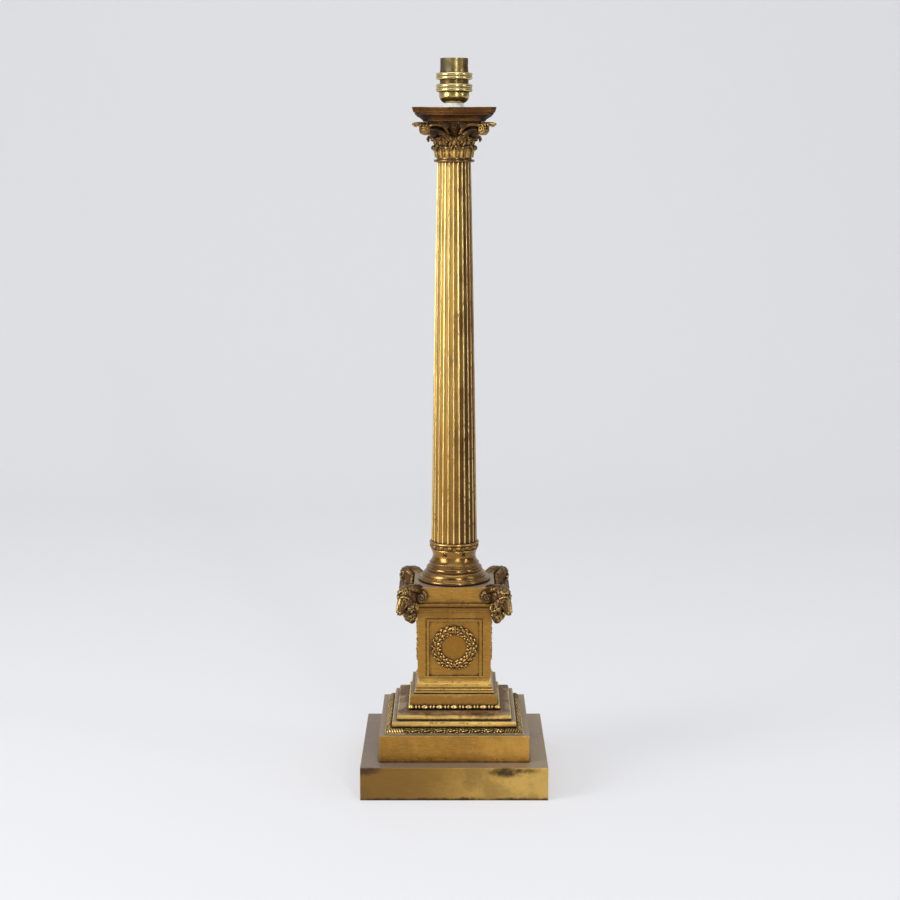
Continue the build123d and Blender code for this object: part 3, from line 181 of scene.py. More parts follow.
def aged_metal(
    name,
    face,
    hollow,
    ledge,
    bright,
    rough=0.36,
    grime_and_shade=1.0,
    reach=4.0,
    patch=0.5,
    patch_colour=(0.16, 0.10, 0.035),
    scratch=(3, 3, 60),
    ledge_share=0.8,
    relief=1.0,
    painted_top_light_share=0.35,
    regions=(),
):
    """Old gilt brass: clean faces, hollows darkened as patina and painted shade, dull ledges, edges
    brightened as wear and painted highlight, faces that tilt a little upwards painted brighter as if lit from
    above, stains and fine scratches.

    The base colour mixes face, ledge (dust on what faces up), hollow and bright. Regions are the stains, the
    places of wear, and the painted shade and painted light that sit at one spot.
    """
    t = Skin(name)
    cloud = t.noise(28, 4, 0.6)
    mottle = t.noise(190, 3, 0.6)
    grain = t.noise(1400, 2, 0.5)
    lines = t.noise(30, 5, 0.75, scratch)

    rounded = t.node("ShaderNodeBevel", samples=4)
    rounded.inputs["Radius"].default_value = EDGE_R * MM
    geometry = t.node("ShaderNodeNewGeometry")
    facing = t.node("ShaderNodeVectorMath", operation="DOT_PRODUCT")
    t.link(rounded.outputs[0], facing.inputs[0])
    t.link(geometry.outputs["True Normal"], facing.inputs[1])
    edge = t.ramp(facing.outputs["Value"], 0.995, 0.86)

    # Ambient occlusion darkens the hollows towards the hollow colour: patina, and painted shade where less
    # light reaches.
    shade = t.node("ShaderNodeAmbientOcclusion", samples=6)
    shade.inputs["Distance"].default_value = reach * MM
    open_share = t.math("ADD", shade.outputs["AO"], t.ramp(mottle, 0.3, 0.7, -0.08, 0.08))
    deep = t.ramp(open_share, 0.92, 0.45)
    worked = t.node("ShaderNodeAttribute", attribute_name="hollow").outputs["Fac"]
    deep = t.math("MAXIMUM", deep, worked)
    deep = t.math("MINIMUM", t.math("MULTIPLY", deep, grime_and_shade), 1.0)

    split = t.node("ShaderNodeSeparateXYZ")
    t.link(geometry.outputs["Normal"], split.inputs[0])
    up = t.ramp(split.outputs["Z"], 0.75, 0.95, 0.0, ledge_share)

    stained = t.math("MULTIPLY", t.ramp(cloud, 0.50, 0.68), patch)
    colour = t.mix(t.ramp(mottle, 0.35, 0.7, 0.0, 0.35), face, tuple(c * 0.72 for c in face))
    colour = t.mix(t.ramp(lines, 0.45, 0.75, 0.0, 0.3), colour, bright)
    # Painted highlight: faces that tilt a little upwards are mixed towards bright, as if lit from above.
    slope = t.ramp(split.outputs["Z"], 0.12, 0.45, 0.0, painted_top_light_share)
    colour = t.mix(t.math("MULTIPLY", slope, t.ramp(cloud, 0.3, 0.6, 0.4, 1.0)), colour, bright)
    # Regions mix in stains and tones, and painted shade and painted light at fixed places; the dull ones also
    # lose their dust and gloss.
    tarnish_and_shade = 0.0
    for centre, radii, tint, share, dulls in regions:
        inside = t.math("MULTIPLY", t.region(centre, radii, cloud, mottle), share)
        colour = t.mix(inside, colour, tint)
        if dulls:
            tarnish_and_shade = t.math("MAXIMUM", tarnish_and_shade, inside)
    colour = t.mix(stained, colour, patch_colour)
    up = t.math("MULTIPLY", up, t.math("SUBTRACT", 1.0, tarnish_and_shade))
    colour = t.mix(up, colour, ledge)
    colour = t.mix(deep, colour, hollow)
    # Edges, and ridges that the mesh marks below zero, are brightened: wear and painted highlight.
    edge = t.math("MAXIMUM", edge, t.math("MULTIPLY", worked, -1.0))
    wear_and_glint = t.math("MULTIPLY", edge, t.ramp(cloud, 0.25, 0.6, 0.35, 0.9))
    wear_and_glint = t.math("MULTIPLY", wear_and_glint, t.math("SUBTRACT", 1.0, deep))
    colour = t.mix(wear_and_glint, colour, bright)
    t.link(colour, t.bsdf.inputs["Base Color"])

    dull = t.math("MAXIMUM", t.math("MAXIMUM", deep, t.math("MULTIPLY", up, 0.7)), stained)
    dull = t.math("MAXIMUM", dull, tarnish_and_shade)
    roughness = t.blend(dull, t.ramp(mottle, 0.3, 0.7, rough - 0.06, rough + 0.1), DULL_ROUGH)
    roughness = t.blend(wear_and_glint, roughness, RUBBED_ROUGH)
    t.link(roughness, t.bsdf.inputs["Roughness"])
    covered = t.math("MAXIMUM", t.math("MULTIPLY", deep, 0.6), t.math("MULTIPLY", up, 0.8))
    t.link(t.blend(covered, 1.0, 0.45), t.bsdf.inputs["Metallic"])

    normal = t.bump(cloud, CLOUD_DEPTH * relief, rounded.outputs[0])
    normal = t.bump(lines, LINE_DEPTH * relief, normal)
    normal = t.bump(grain, GRAIN_DEPTH * relief, normal)
    t.link(normal, t.bsdf.inputs["Normal"])
    return t.material


def moulded(name, colour, spot, rough, per_metre=600, depth=0.03, sheen=0.0, metallic=0.0):
    """A plain non-brass finish with mottling and a fine grain."""
    t = Skin(name)
    mottle = t.noise(per_metre / 4, 4)
    grain = t.noise(per_metre, 3, 0.6)
    t.link(t.mix(t.ramp(mottle, 0.4, 0.75), colour, spot), t.bsdf.inputs["Base Color"])
    t.link(t.ramp(grain, 0.3, 0.7, rough - 0.06, rough + 0.08), t.bsdf.inputs["Roughness"])
    t.bsdf.inputs["Metallic"].default_value = metallic
    t.bsdf.inputs["Sheen Weight"].default_value = sheen
    t.link(t.bump(grain, depth), t.bsdf.inputs["Normal"])
    return t.material


DARK = (0.036, 0.020, 0.008)
DUST = (0.27, 0.225, 0.185)
GILT = (0.39, 0.19, 0.034)
BRIGHT = (0.95, 0.68, 0.22)
ALL_ROUND = 1000.0
STAIN_DEEP = 5


# A region is (centre, radii, colour, share, whether the place is dull).
def level(z, half, colour, share, dull=False):
    """A region all round the lamp that fades out at about half above and below z."""
    return (0, 0, z), (ALL_ROUND, ALL_ROUND, half), colour, share, dull


def side_tint(x, z, half_x, half_z, colour, share):
    """A change of colour towards one side of the lamp, from front to back."""
    return (x, 0, z), (half_x, ALL_ROUND, half_z), colour, share, False


def stain(x, y, z, half_x, half_z, colour, share):
    """A dull stain on the front face at y."""
    return (x, y, z), (half_x, STAIN_DEEP, half_z), colour, share, True


METAL_LOOKS = {
    "plinth_brass": dict(
        face=(0.44, 0.25, 0.056), hollow=DARK, ledge=DUST, bright=(0.80, 0.54, 0.18),
        rough=0.36, patch=0.45, scratch=(2, 2, 40),
        regions=(
            # Painted shade towards the left of the plinth and painted light towards its right.
            side_tint(-110, 20, 150, 90, (0.18, 0.095, 0.026), 0.75),
            side_tint(110, 8, 120, 60, (0.66, 0.43, 0.12), 0.75),
            stain(48, -96, 28.5, 22, 7, (0.06, 0.036, 0.02), 0.95),
            stain(75, -96, 30.5, 14, 4, (0.06, 0.036, 0.02), 0.9),
            stain(-90, -96, 31, 16, 6, (0.07, 0.045, 0.03), 0.9),
            # These two darken and dull the front face in a band along its foot.
            stain(60, -94, 0, 60, 4.4, (0.04, 0.024, 0.012), 0.95),
            stain(-40, -94, 0, 70, 2.6, (0.06, 0.036, 0.015), 0.95),
        ),
    ),
    "gilt_brass": dict(
        face=GILT, hollow=DARK, ledge=DUST, bright=BRIGHT,
        rough=0.30, patch=0.3,
        regions=(
            # Painted light towards the right of the step block.
            side_tint(84, 45, 64, 34, (0.64, 0.35, 0.075), 0.6),
            level(71.5, 9, (0.85, 0.56, 0.16), 0.75),
            level(80.5, 5.5, (0.15, 0.085, 0.048), 0.95, dull=True),
            level(88, 7, (0.27, 0.13, 0.028), 0.6),
            level(102, 8, (0.74, 0.46, 0.12), 0.5),
            # Painted shadow of the cap across the top of the die.
            level(183, 13, (0.22, 0.105, 0.026), 0.7),
            side_tint(4, 144, 34, 38, (0.25, 0.115, 0.019), 0.65),
        ),
    ),
    "column_brass": dict(
        face=(0.46, 0.25, 0.050), hollow=(0.055, 0.021, 0.004), ledge=DUST, bright=(1.0, 0.78, 0.30),
        rough=0.19, patch=0.35, scratch=(60, 60, 3), ledge_share=0.3, reach=1.6, relief=0.14,
        regions=(
            level(680, 330, (0.72, 0.49, 0.15), 0.65),
            level(250, 120, (0.40, 0.19, 0.033), 0.7),
            # Painted shade down the right side of the shaft.
            side_tint(21, 430, 17, 800, (0.13, 0.052, 0.014), 0.9),
            level(214, 30, (0.25, 0.135, 0.042), 0.95),
            level(223, 5, (0.14, 0.066, 0.022), 0.6),
            level(242, 6, (0.26, 0.13, 0.035), 0.7),
            level(633, 6, (0.15, 0.08, 0.03), 0.9),
        ),
    ),
    "chased_bronze": dict(
        face=(0.20, 0.088, 0.022), hollow=(0.020, 0.010, 0.005), ledge=(0.080, 0.055, 0.032),
        bright=(1.0, 0.70, 0.22), rough=0.24, patch=0.6, patch_colour=(0.06, 0.03, 0.012),
        grime_and_shade=1.2, reach=3.5, ledge_share=0.6, relief=0.6, painted_top_light_share=0.1,
        regions=(
            level(70, 22, (0.27, 0.155, 0.055), 0.75),
            level(66, 9, (0.10, 0.058, 0.030), 0.85),
            side_tint(0, 142, 36, 34, (0.32, 0.15, 0.032), 0.8),
            level(192, 26, (0.11, 0.058, 0.026), 0.8),
            level(636, 18, (0.42, 0.24, 0.06), 0.8),
        ),
    ),
    "abacus_bronze": dict(
        face=(0.105, 0.042, 0.014), hollow=(0.018, 0.009, 0.004), ledge=(0.06, 0.034, 0.016),
        bright=(0.42, 0.22, 0.07), rough=0.28, patch=0.4, patch_colour=(0.04, 0.02, 0.01),
        scratch=(3, 3, 50), painted_top_light_share=0.0,
    ),
    "holder_brass": dict(
        face=(0.40, 0.29, 0.095), hollow=(0.05, 0.028, 0.010), ledge=(0.25, 0.19, 0.09),
        bright=(0.92, 0.80, 0.44), rough=0.20, patch=0.5, patch_colour=(0.11, 0.07, 0.03),
        scratch=(3, 3, 90), relief=0.16,
        regions=(
            ((-15, -8, 724), (18, 24, 17), (0.085, 0.070, 0.045), 0.95, True),
            # Painted shade on the right side of the skirt.
            ((15, -6, 724), (12, 24, 17), (0.05, 0.025, 0.010), 1.0, True),
            level(694, 10, (0.62, 0.47, 0.16), 0.6),
            level(710, 4, (0.20, 0.12, 0.04), 0.8),
        ),
    ),
    "ring_brass": dict(
        face=(0.62, 0.47, 0.18), hollow=(0.08, 0.05, 0.015), ledge=(0.55, 0.42, 0.17),
        bright=(0.98, 0.85, 0.50), rough=0.20, patch=0.3, scratch=(3, 3, 90), reach=2.0, relief=0.2,
    ),
    "plain_brass": dict(
        face=(0.62, 0.45, 0.17), hollow=DARK, ledge=DUST, bright=BRIGHT,
        rough=0.28, patch=0.3,
    ),
}
PLAIN_LOOKS = {
    "plain_steel": dict(colour=(0.46, 0.45, 0.43), spot=(0.28, 0.24, 0.20), rough=0.38, metallic=1.0),
    "cover_steel": dict(colour=(0.03, 0.03, 0.03), spot=(0.06, 0.055, 0.05), rough=0.5),
    "spring_steel": dict(colour=(0.5, 0.5, 0.5), spot=(0.35, 0.33, 0.3), rough=0.3, metallic=1.0),
    "porcelain": dict(
        colour=(0.80, 0.78, 0.70), spot=(0.66, 0.62, 0.52), rough=0.2,
        per_metre=200, depth=0.02,
    ),
    "white_filler": dict(
        colour=(0.90, 0.90, 0.88), spot=(0.74, 0.72, 0.67), rough=0.14,
        per_metre=350, depth=0.12,
    ),
    "bush_plastic": dict(colour=(0.015, 0.015, 0.016), spot=(0.035, 0.034, 0.033), rough=0.42),
    "felt": dict(
        colour=(0.020, 0.055, 0.030), spot=(0.045, 0.09, 0.055), rough=0.9,
        per_metre=2500, depth=0.25, sheen=0.4,
    ),
}
finish = {name: aged_metal(name, **look) for name, look in METAL_LOOKS.items()}
finish |= {name: moulded(name, **look) for name, look in PLAIN_LOOKS.items()}
slot_of = {part["node"]: part["material_slot"] for part in frame["record"]["subparts"]}
for node, obj in nodes.items():
    obj.data.materials.clear()
    obj.data.materials.append(finish[slot_of[node]])


# ---- mesh building, in millimetres ----
# A shell is (points, faces, hollow). Hollow is 1 deep in the carving, which patina and painted shade darken,
# 0 on a plain face and -1 on a ridge that wear and a painted highlight brighten.
CALMING_PASSES = 2
HOLLOW_SPAN = 0.5
RIDGE_FROM = 0.55


def shell(points, faces, hollow=None):
    points = np.asarray(points, float).reshape(-1, 3)
    deep = np.zeros(len(points)) if hollow is None else np.asarray(hollow, float).ravel()
    return points, faces, deep


def joined(shells):
    points, faces, deep, count = [], [], [], 0
    for p, f, h in shells:
        points.append(p)
        faces += [tuple(i + count for i in face) for face in f]
        deep.append(h)
        count += len(p)
    return np.vstack(points), faces, np.concatenate(deep)


def polar(radius, angle, z):
    return radius * math.cos(angle), radius * math.sin(angle), z


def circle(count):
    """Angles spread evenly round a circle."""
    return np.linspace(0, 2 * math.pi, count, endpoint=False)


def quarter_turned(x, y, turn):
    a = math.radians(90 * turn)
    return x * math.cos(a) - y * math.sin(a), x * math.sin(a) + y * math.cos(a)


def ripple(x, y, z):
    return noise.noise(Vector((x, y, z)))


def moved(item, matrix):
    points, faces, deep = item
    m = np.array(matrix)
    return points @ m[:3, :3].T + m[:3, 3], faces, deep


def spun(item, degrees):
    return moved(item, Matrix.Rotation(math.radians(degrees), 4, "Z"))


def around(item, count, first=0.0):
    return joined([spun(item, first + 360.0 / count * k) for k in range(count)])


def grid_faces(rows, columns, wrap_rows=False, wrap_columns=False):
    faces = []
    for r in range(rows if wrap_rows else rows - 1):
        row = r * columns
        above = (r + 1) % rows * columns
        for c in range(columns if wrap_columns else columns - 1):
            across = (c + 1) % columns
            faces.append((row + c, row + across, above + across, above + c))
    return faces


def loft(points, rows, columns, deep=None):
    """A closed skin from rows of points that meet at both of their ends."""
    return shell(points, grid_faces(rows, columns, wrap_rows=True, wrap_columns=True), deep)


def smooth_path(points, count):
    """A smooth curve through the points, sampled evenly in its parameter."""
    p = np.asarray(points, float)
    p = np.vstack([2 * p[0] - p[1], p, 2 * p[-1] - p[-2]])
    out = []
    for x in np.linspace(0, len(p) - 3 - 1e-9, count):
        k = int(x)
        u = x - k
        a, b, c, d = p[k : k + 4]
        cubic = (3 * b - a - 3 * c + d) * u**3
        out.append(0.5 * (2 * b + (c - a) * u + (2 * a - 5 * b + 4 * c - d) * u**2 + cubic))
    return np.array(out)


def spiral(centre, along, up, start_r, end_r, start, turns, count, rise=(0, 0, 0)):
    """Points of a spiral about centre, in the plane of along and up, which climbs by rise from end to end."""
    centre, along, up, rise = (np.array(v, float) for v in (centre, along, up, rise))
    out = []
    for share in np.linspace(0, 1, count):
        a = math.radians(start) + turns * 2 * math.pi * share
        r = start_r + (end_r - start_r) * share
        out.append(centre + along * r * math.cos(a) + up * r * math.sin(a) + rise * share)
    return out


def ring(radius, z):
    """A closed circle about the axis."""
    return spiral((0, 0, z), AHEAD, ASIDE, radius, radius, 0, 1, 97)


def tube(path, widths, thicknesses=None, sides=12, facing=None):
    """A closed bar along a path. widths run across it and thicknesses along its facing direction."""
    path = np.asarray(path, float)
    thicknesses = widths if thicknesses is None else thicknesses
    widths = np.broadcast_to(widths, len(path))
    thicknesses = np.broadcast_to(thicknesses, len(path))
    along = np.gradient(path, axis=0)
    along /= np.linalg.norm(along, axis=1)[:, None]
    normal = np.array(facing if facing is not None else (0.13, 0.31, 0.94), float)
    points = []
    for k, (at, t) in enumerate(zip(path, along)):
        if facing is not None:
            normal = np.array(facing, float)
        normal = normal - t * (normal @ t)
        normal /= np.linalg.norm(normal)
        across = np.cross(t, normal)
        for a in circle(sides):
            points.append(at + across * math.cos(a) * widths[k] + normal * math.sin(a) * thicknesses[k])
    faces = grid_faces(len(path), sides, wrap_columns=True)
    first, last = len(points), len(points) + 1
    points += [path[0], path[-1]]
    base = (len(path) - 1) * sides
    faces += [(first, (k + 1) % sides, k) for k in range(sides)]
    faces += [(last, base + k, base + (k + 1) % sides) for k in range(sides)]
    return shell(points, faces)


def spread(sizes, count):
    """Sizes for count points, from one size, evenly spread ones or (share, size) pairs."""
    known = np.atleast_1d(np.asarray(sizes, float))
    if known.ndim == 1:
        known = np.column_stack([np.linspace(0, 1, len(known)), known])
    return np.interp(np.linspace(0, 1, count), known[:, 0], known[:, 1])


def limb(points, count, widths, sides=8, thick=None, facing=None, side=1):
    """A tube along the smooth curve through the points, mirrored across y for side=-1."""
    path = smooth_path(np.array(points) * (1, side, 1), count)
    thicknesses = None if thick is None else spread(thick, count)
    facing = None if facing is None else np.array(facing) * (1, side, 1)
    return tube(path, spread(widths, count), thicknesses, sides, facing)


def ball(centre, radii, rows=14, columns=20):
    """An egg-shaped body."""
    radii = np.broadcast_to(radii, 3)
    points = []
    for r in range(1, rows):
        lat = math.pi * r / rows
        points += [polar(math.sin(lat), a, math.cos(lat)) for a in circle(columns)]
    faces = [tuple(reversed(f)) for f in grid_faces(rows - 1, columns, wrap_columns=True)]
    points += [(0, 0, 1), (0, 0, -1)]
    top, low = len(points) - 2, len(points) - 1
    base = (rows - 2) * columns
    faces += [(top, k, (k + 1) % columns) for k in range(columns)]
    faces += [(low, base + (k + 1) % columns, base + k) for k in range(columns)]
    return moved(shell(np.array(points) * radii, faces), Matrix.Translation(centre))


def turned_to(direction):
    """A matrix that stands the Z axis along a direction."""
    return Vector(direction).to_track_quat("Z", "Y").to_matrix().to_4x4()


def normals_of(points, faces):
    mesh = bpy.data.meshes.new("blank")
    mesh.from_pydata(points.tolist(), [], faces)
    normals = np.zeros(len(points) * 3)
    mesh.vertices.foreach_get("normal", normals)
    bpy.data.meshes.remove(mesh)
    return normals.reshape(-1, 3)


def fused(shells, voxel):
    """The shells melted into one skin, a little softened."""
    points, faces, _ = joined(shells)
    mesh = bpy.data.meshes.new("blank")
    mesh.from_pydata(points.tolist(), [], faces)
    blank = bpy.data.objects.new("blank", mesh)
    scene.collection.objects.link(blank)
    melt = blank.modifiers.new("melt", "REMESH")
    melt.mode = "VOXEL"
    melt.voxel_size = voxel
    calm = blank.modifiers.new("calm", "SMOOTH")
    calm.factor = 0.5
    calm.iterations = 1
    bpy.context.view_layer.update()
    done = bpy.data.meshes.new_from_object(blank.evaluated_get(bpy.context.evaluated_depsgraph_get()))
    count = len(done.vertices)
    skin = np.zeros(count * 3)
    done.vertices.foreach_get("co", skin)
    faces = [tuple(p.vertices) for p in done.polygons]
    bpy.data.objects.remove(blank)
    bpy.data.meshes.remove(mesh)
    bpy.data.meshes.remove(done)
    return shell(skin, faces)


def thickened(item, thickness):
    """A sheet given a thickness behind its face."""
    points, faces, deep = item
    back = points - normals_of(points, faces) * thickness
    count = len(points)
    edges = dict.fromkeys((a, b) for face in faces for a, b in zip(face, face[1:] + face[:1]))
    sides = [(b, a, a + count, b + count) for a, b in edges if (b, a) not in edges]
    behind = [tuple(i + count for i in reversed(face)) for face in faces]
    return shell(np.vstack([points, back]), list(faces) + behind + sides, np.concatenate([deep, deep]))


def roughened(item, amount, size, seed=0.0):
    """The skin pushed in and out a little, as cast metal is."""
    points, faces, deep = item
    shift = np.array([noise.noise_vector(Vector(p) / size + Vector((seed, seed, seed))) for p in points])
    return points + shift * amount, faces, deep


def chased(item, light=1.6):
    """Marks the skin by its curvature, in 1/mm: hollows dark, as patina and painted shade, and ridges bright,
    as wear and painted highlight, over a span of light.
    """
    points, faces, deep = item
    pairs = np.array([(a, b) for face in faces for a, b in zip(face, face[1:] + face[:1])])
    a, b = np.vstack([pairs, pairs[:, ::-1]]).T
    degree = np.bincount(a, minlength=len(points)).astype(float)

    def near(values):
        return np.bincount(a, values[b], len(points)) / degree

    middles = np.stack([near(axis) for axis in points.T], 1)
    spacing = np.bincount(a, np.linalg.norm(points[a] - points[b], axis=1), len(points)) / degree
    bend = -np.sum((middles - points) * normals_of(points, faces), axis=1) * 4 / spacing**2
    for _ in range(CALMING_PASSES):
        bend = 0.5 * bend + 0.5 * near(bend)
    hollow = np.clip(-bend / HOLLOW_SPAN, 0, 0.95)
    ridge = np.clip((bend - RIDGE_FROM) / light, 0, 0.9)
    return points, faces, np.maximum(deep, hollow) - ridge * (hollow <= 0)


def piece(name, item, node, crease=180):
    """A finished piece on the lamp's own body, in the solid's place and material slot."""
    points, faces, deep = item
    mesh = bpy.data.meshes.new(name)
    mesh.from_pydata((points * MM).tolist(), [], faces)
    mesh.polygons.foreach_set("use_smooth", [True] * len(mesh.polygons))
    mesh.set_sharp_from_angle(angle=math.radians(crease))
    worked = mesh.attributes.new("hollow", "FLOAT", "POINT")
    worked.data.foreach_set("value", np.clip(deep, -1, 1).astype(np.float32))
    mesh.materials.append(finish[slot_of[node]])
    obj = bpy.data.objects.new(name, mesh)
    scene.collection.objects.link(obj)
    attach(obj, "lamp")
    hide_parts(node)
    return obj


def box_mm(node):
    low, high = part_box(node)
    return np.array(low) / MM, np.array(high) / MM


def levels_of(node):
    """The heights of a solid's foot and top."""
    low, high = box_mm(node)
    return low[2], high[2]


# ---- fluted shaft ----
FLUTES = 24
SHAFT_FOOT_R = 23.4
SHAFT_TOP_R = 16.9
SHAFT_SWELL = 0.35
SHAFT_WALL = 3.0
FLUTE_DEPTH = 0.075  # as a share of the radius
ARRIS = 0.2  # as a share of the pitch
ARRIS_GAP = 0.12


def fluted_shaft():
    """A tapering tube whose arrises waver, with chips out of them, over browner flutes. The flutes' brown is
    patina that painted shade deepens towards the right, and the arrises are brightened as wear and painted
    highlight.
    """
    low, high = box_mm("fluted_shaft")
    per_flute, rows = 16, 200
    columns = FLUTES * per_flute
    points, deep = [], []
    for share in np.linspace(0, 1, rows):
        z = low[2] + (high[2] - low[2]) * share
        radius = SHAFT_FOOT_R + (SHAFT_TOP_R - SHAFT_FOOT_R) * share + SHAFT_SWELL * math.sin(math.pi * share)
        for c in range(columns):
            flute, t = divmod(c / per_flute, 1)
            a = 2 * math.pi * c / columns
            u = abs(2 * t / (1 - ARRIS) - 1)
            on_arris = u > 1
            dip = 0.0 if on_arris else FLUTE_DEPTH * radius * (1 - u**2.6)
            wear = 0.5 + ripple(flute * 7.3, z / 34, 3.1)
            nick = max(0.0, ripple(flute * 3.7, z / 3.2, 9.4) - 0.42) * 1.4
            chip = (0.35 + 0.12 * wear) * nick if on_arris else 0.0
            points.append(polar(radius - ARRIS_GAP - dip - chip, a, z))
            inside = min(1.0, dip / (FLUTE_DEPTH * radius) * 1.6)
            # Painted shade: the flutes grow browner towards the right side; the arrises get wear and painted
            # highlight.
            patina_and_right_shade = np.interp(math.cos(a), (-0.2, 0.5), (0.40, 0.88))
            brown = inside * (patina_and_right_shade + 0.2 * ripple(flute * 5.1, z / 40, 1.7))
            wear_and_glint = (0.7 + 0.25 * wear) * (u > 0.9)
            deep.append(max(brown, nick * 0.8) - wear_and_glint * (nick == 0))
    for z, radius in ((high[2], SHAFT_TOP_R), (low[2], SHAFT_FOOT_R)):
        inner = radius * (1 - FLUTE_DEPTH) - SHAFT_WALL
        points += [polar(inner, a, z) for a in circle(columns)]
        deep += [1] * columns
    return loft(points, rows + 2, columns, deep)


piece("shaft", fluted_shaft(), "fluted_shaft", crease=60)


# ---- rams' heads ----
# Built in (out, side, up) from the top of the cap's corner.
CAP_TOP = box_mm("pedestal_cap")[1][2]
CAP_CORNER = box_mm("pedestal_cap")[1][0] * math.sqrt(2)
HORN_COIL = (-3.65, 7.05, -9.1)
HORN_RIDGES = 26
BRIDGE_FOOT = np.array((18.0, 0, -9.0))
BRIDGE_TIP = np.array((22.8, 0, -20.5))
HEADS = {"front_left": 225, "front_right": 315, "back_right": 45, "back_left": 135}


def curl(centre, direction, size, turns=1.6, hand=1):
    """A lock of wool: a small coil that rises towards its middle."""
    steps = 22
    climb = (0, 0, 0.55 * size)
    path = spiral((0, 0, 0), AHEAD, ASIDE, size, 0.18 * size, 0, hand * turns, steps, rise=climb)
    lock = tube(path, np.linspace(0.42, 0.30, steps) * size, sides=8)
    return moved(moved(lock, turned_to(direction)), Matrix.Translation(centre))


def fleece(centre, radii, count, size, keep, seed):
    """Locks spread over an egg-shaped body, where keep(direction) allows them."""
    rng = random.Random(seed)
    locks = []
    for k in range(count):
        up = 1 - 2 * (k + 0.5) / count
        a = k * math.pi * (3 - math.sqrt(5)) + rng.uniform(-0.1, 0.1)
        way = np.array(polar(math.sqrt(1 - up * up), a, up))
        if keep(way):
            at = np.array(centre) + way * np.array(radii)
            length = size * rng.uniform(0.85, 1.15)
            locks.append(curl(at, way / np.array(radii), length, hand=rng.choice((-1, 1))))
    return locks


def ram_horn(side):
    """A ridged horn that rises from the brow, sweeps back and coils on the cap's face."""
    middle = np.array(HORN_COIL) * (1, side, 1)
    away = np.array((-1, side, 0)) * math.sqrt(0.5)
    proud = np.array((1, side, 0)) * math.sqrt(0.5)
    root = np.array([(10.4, 3.4, -1.0), (7.4, 5.4, 0.6), (2.8, 7.4, -0.6)]) * (1, side, 1)
    coil = spiral(middle + 0.2 * proud, away, UP, 5.2, 0.9, 98, -640 / 360, 17, rise=2.2 * proud)
    path = smooth_path(np.vstack([root, coil]), 210)
    share = np.linspace(0, 1, len(path))
    ridge = 1 + 0.13 * np.abs(np.sin(share * math.pi * HORN_RIDGES)) ** 0.7
    horn = tube(path, (2.9 - 1.9 * share**0.7) * ridge, sides=16)
    return [horn, ball(middle, (3.4, 3.4, 4.6), rows=12, columns=16)]


def ram_side(side):
    """What each side of the head has: horn, cheek, brow, eye, nostril, lip, ear and fleece."""

    def on_cheek(way):
        return way[1] * side > -0.1 and way[0] > -0.5

    def on_throat(way):
        return way[1] * side > -0.2

    ear_widths = np.array([(0, 1.5), (0.4, 2.5), (0.8, 1.8), (1, 0.5)])
    return [
        *ram_horn(side),
        ball((9.6, 4.4 * side, -13.4), (5.4, 3.3, 5.4)),
        limb([(11.5, 4.8, -12.5), (15.6, 4.0, -15.8), (18.2, 2.6, -20.0)], 12, (2.2, 1.4), 12, side=side),
        limb([(19.0, 1.2, -6.6), (17.6, 5.0, -6.0), (13.6, 7.3, -8.2)], 12, (1.5, 1.1), 10, side=side),
        ball((16.2, 5.0 * side, -9.3), 1.75, rows=10, columns=14),
        limb([(18.2, 3.3, -9.6), (17.0, 5.8, -7.9), (13.8, 6.7, -10.2)], 10, 0.6, side=side),
        limb([(18.0, 3.4, -10.4), (16.4, 5.7, -11.7), (13.8, 6.5, -10.8)], 10, 0.55, side=side),
        ball((21.0, 2.2 * side, -21.6), (1.8, 1.4, 1.6), rows=8, columns=12),
        limb([(21.6, 0.4, -24.4), (19.4, 2.8, -24.0), (15.6, 3.6, -22.4)], 10, 0.95, side=side),
        limb(
            [(5.6, 6.4, -14.0), (6.0, 9.6, -16.4), (6.4, 12.4, -20.0)],
            12,
            ear_widths,
            14,
            thick=ear_widths * (1, 0.5),
            facing=(0.9, 0.2, 0.3),
            side=side,
        ),
        *fleece((7.6, 3.0 * side, -18.0), (5.6, 5.4, 6.2), 30, 2.1, on_cheek, 11 + side),
        *fleece((4.6, 1.2 * side, -26.4), (5.6, 5.0, 6.6), 30, 2.1, on_throat, 21 + side),
    ]


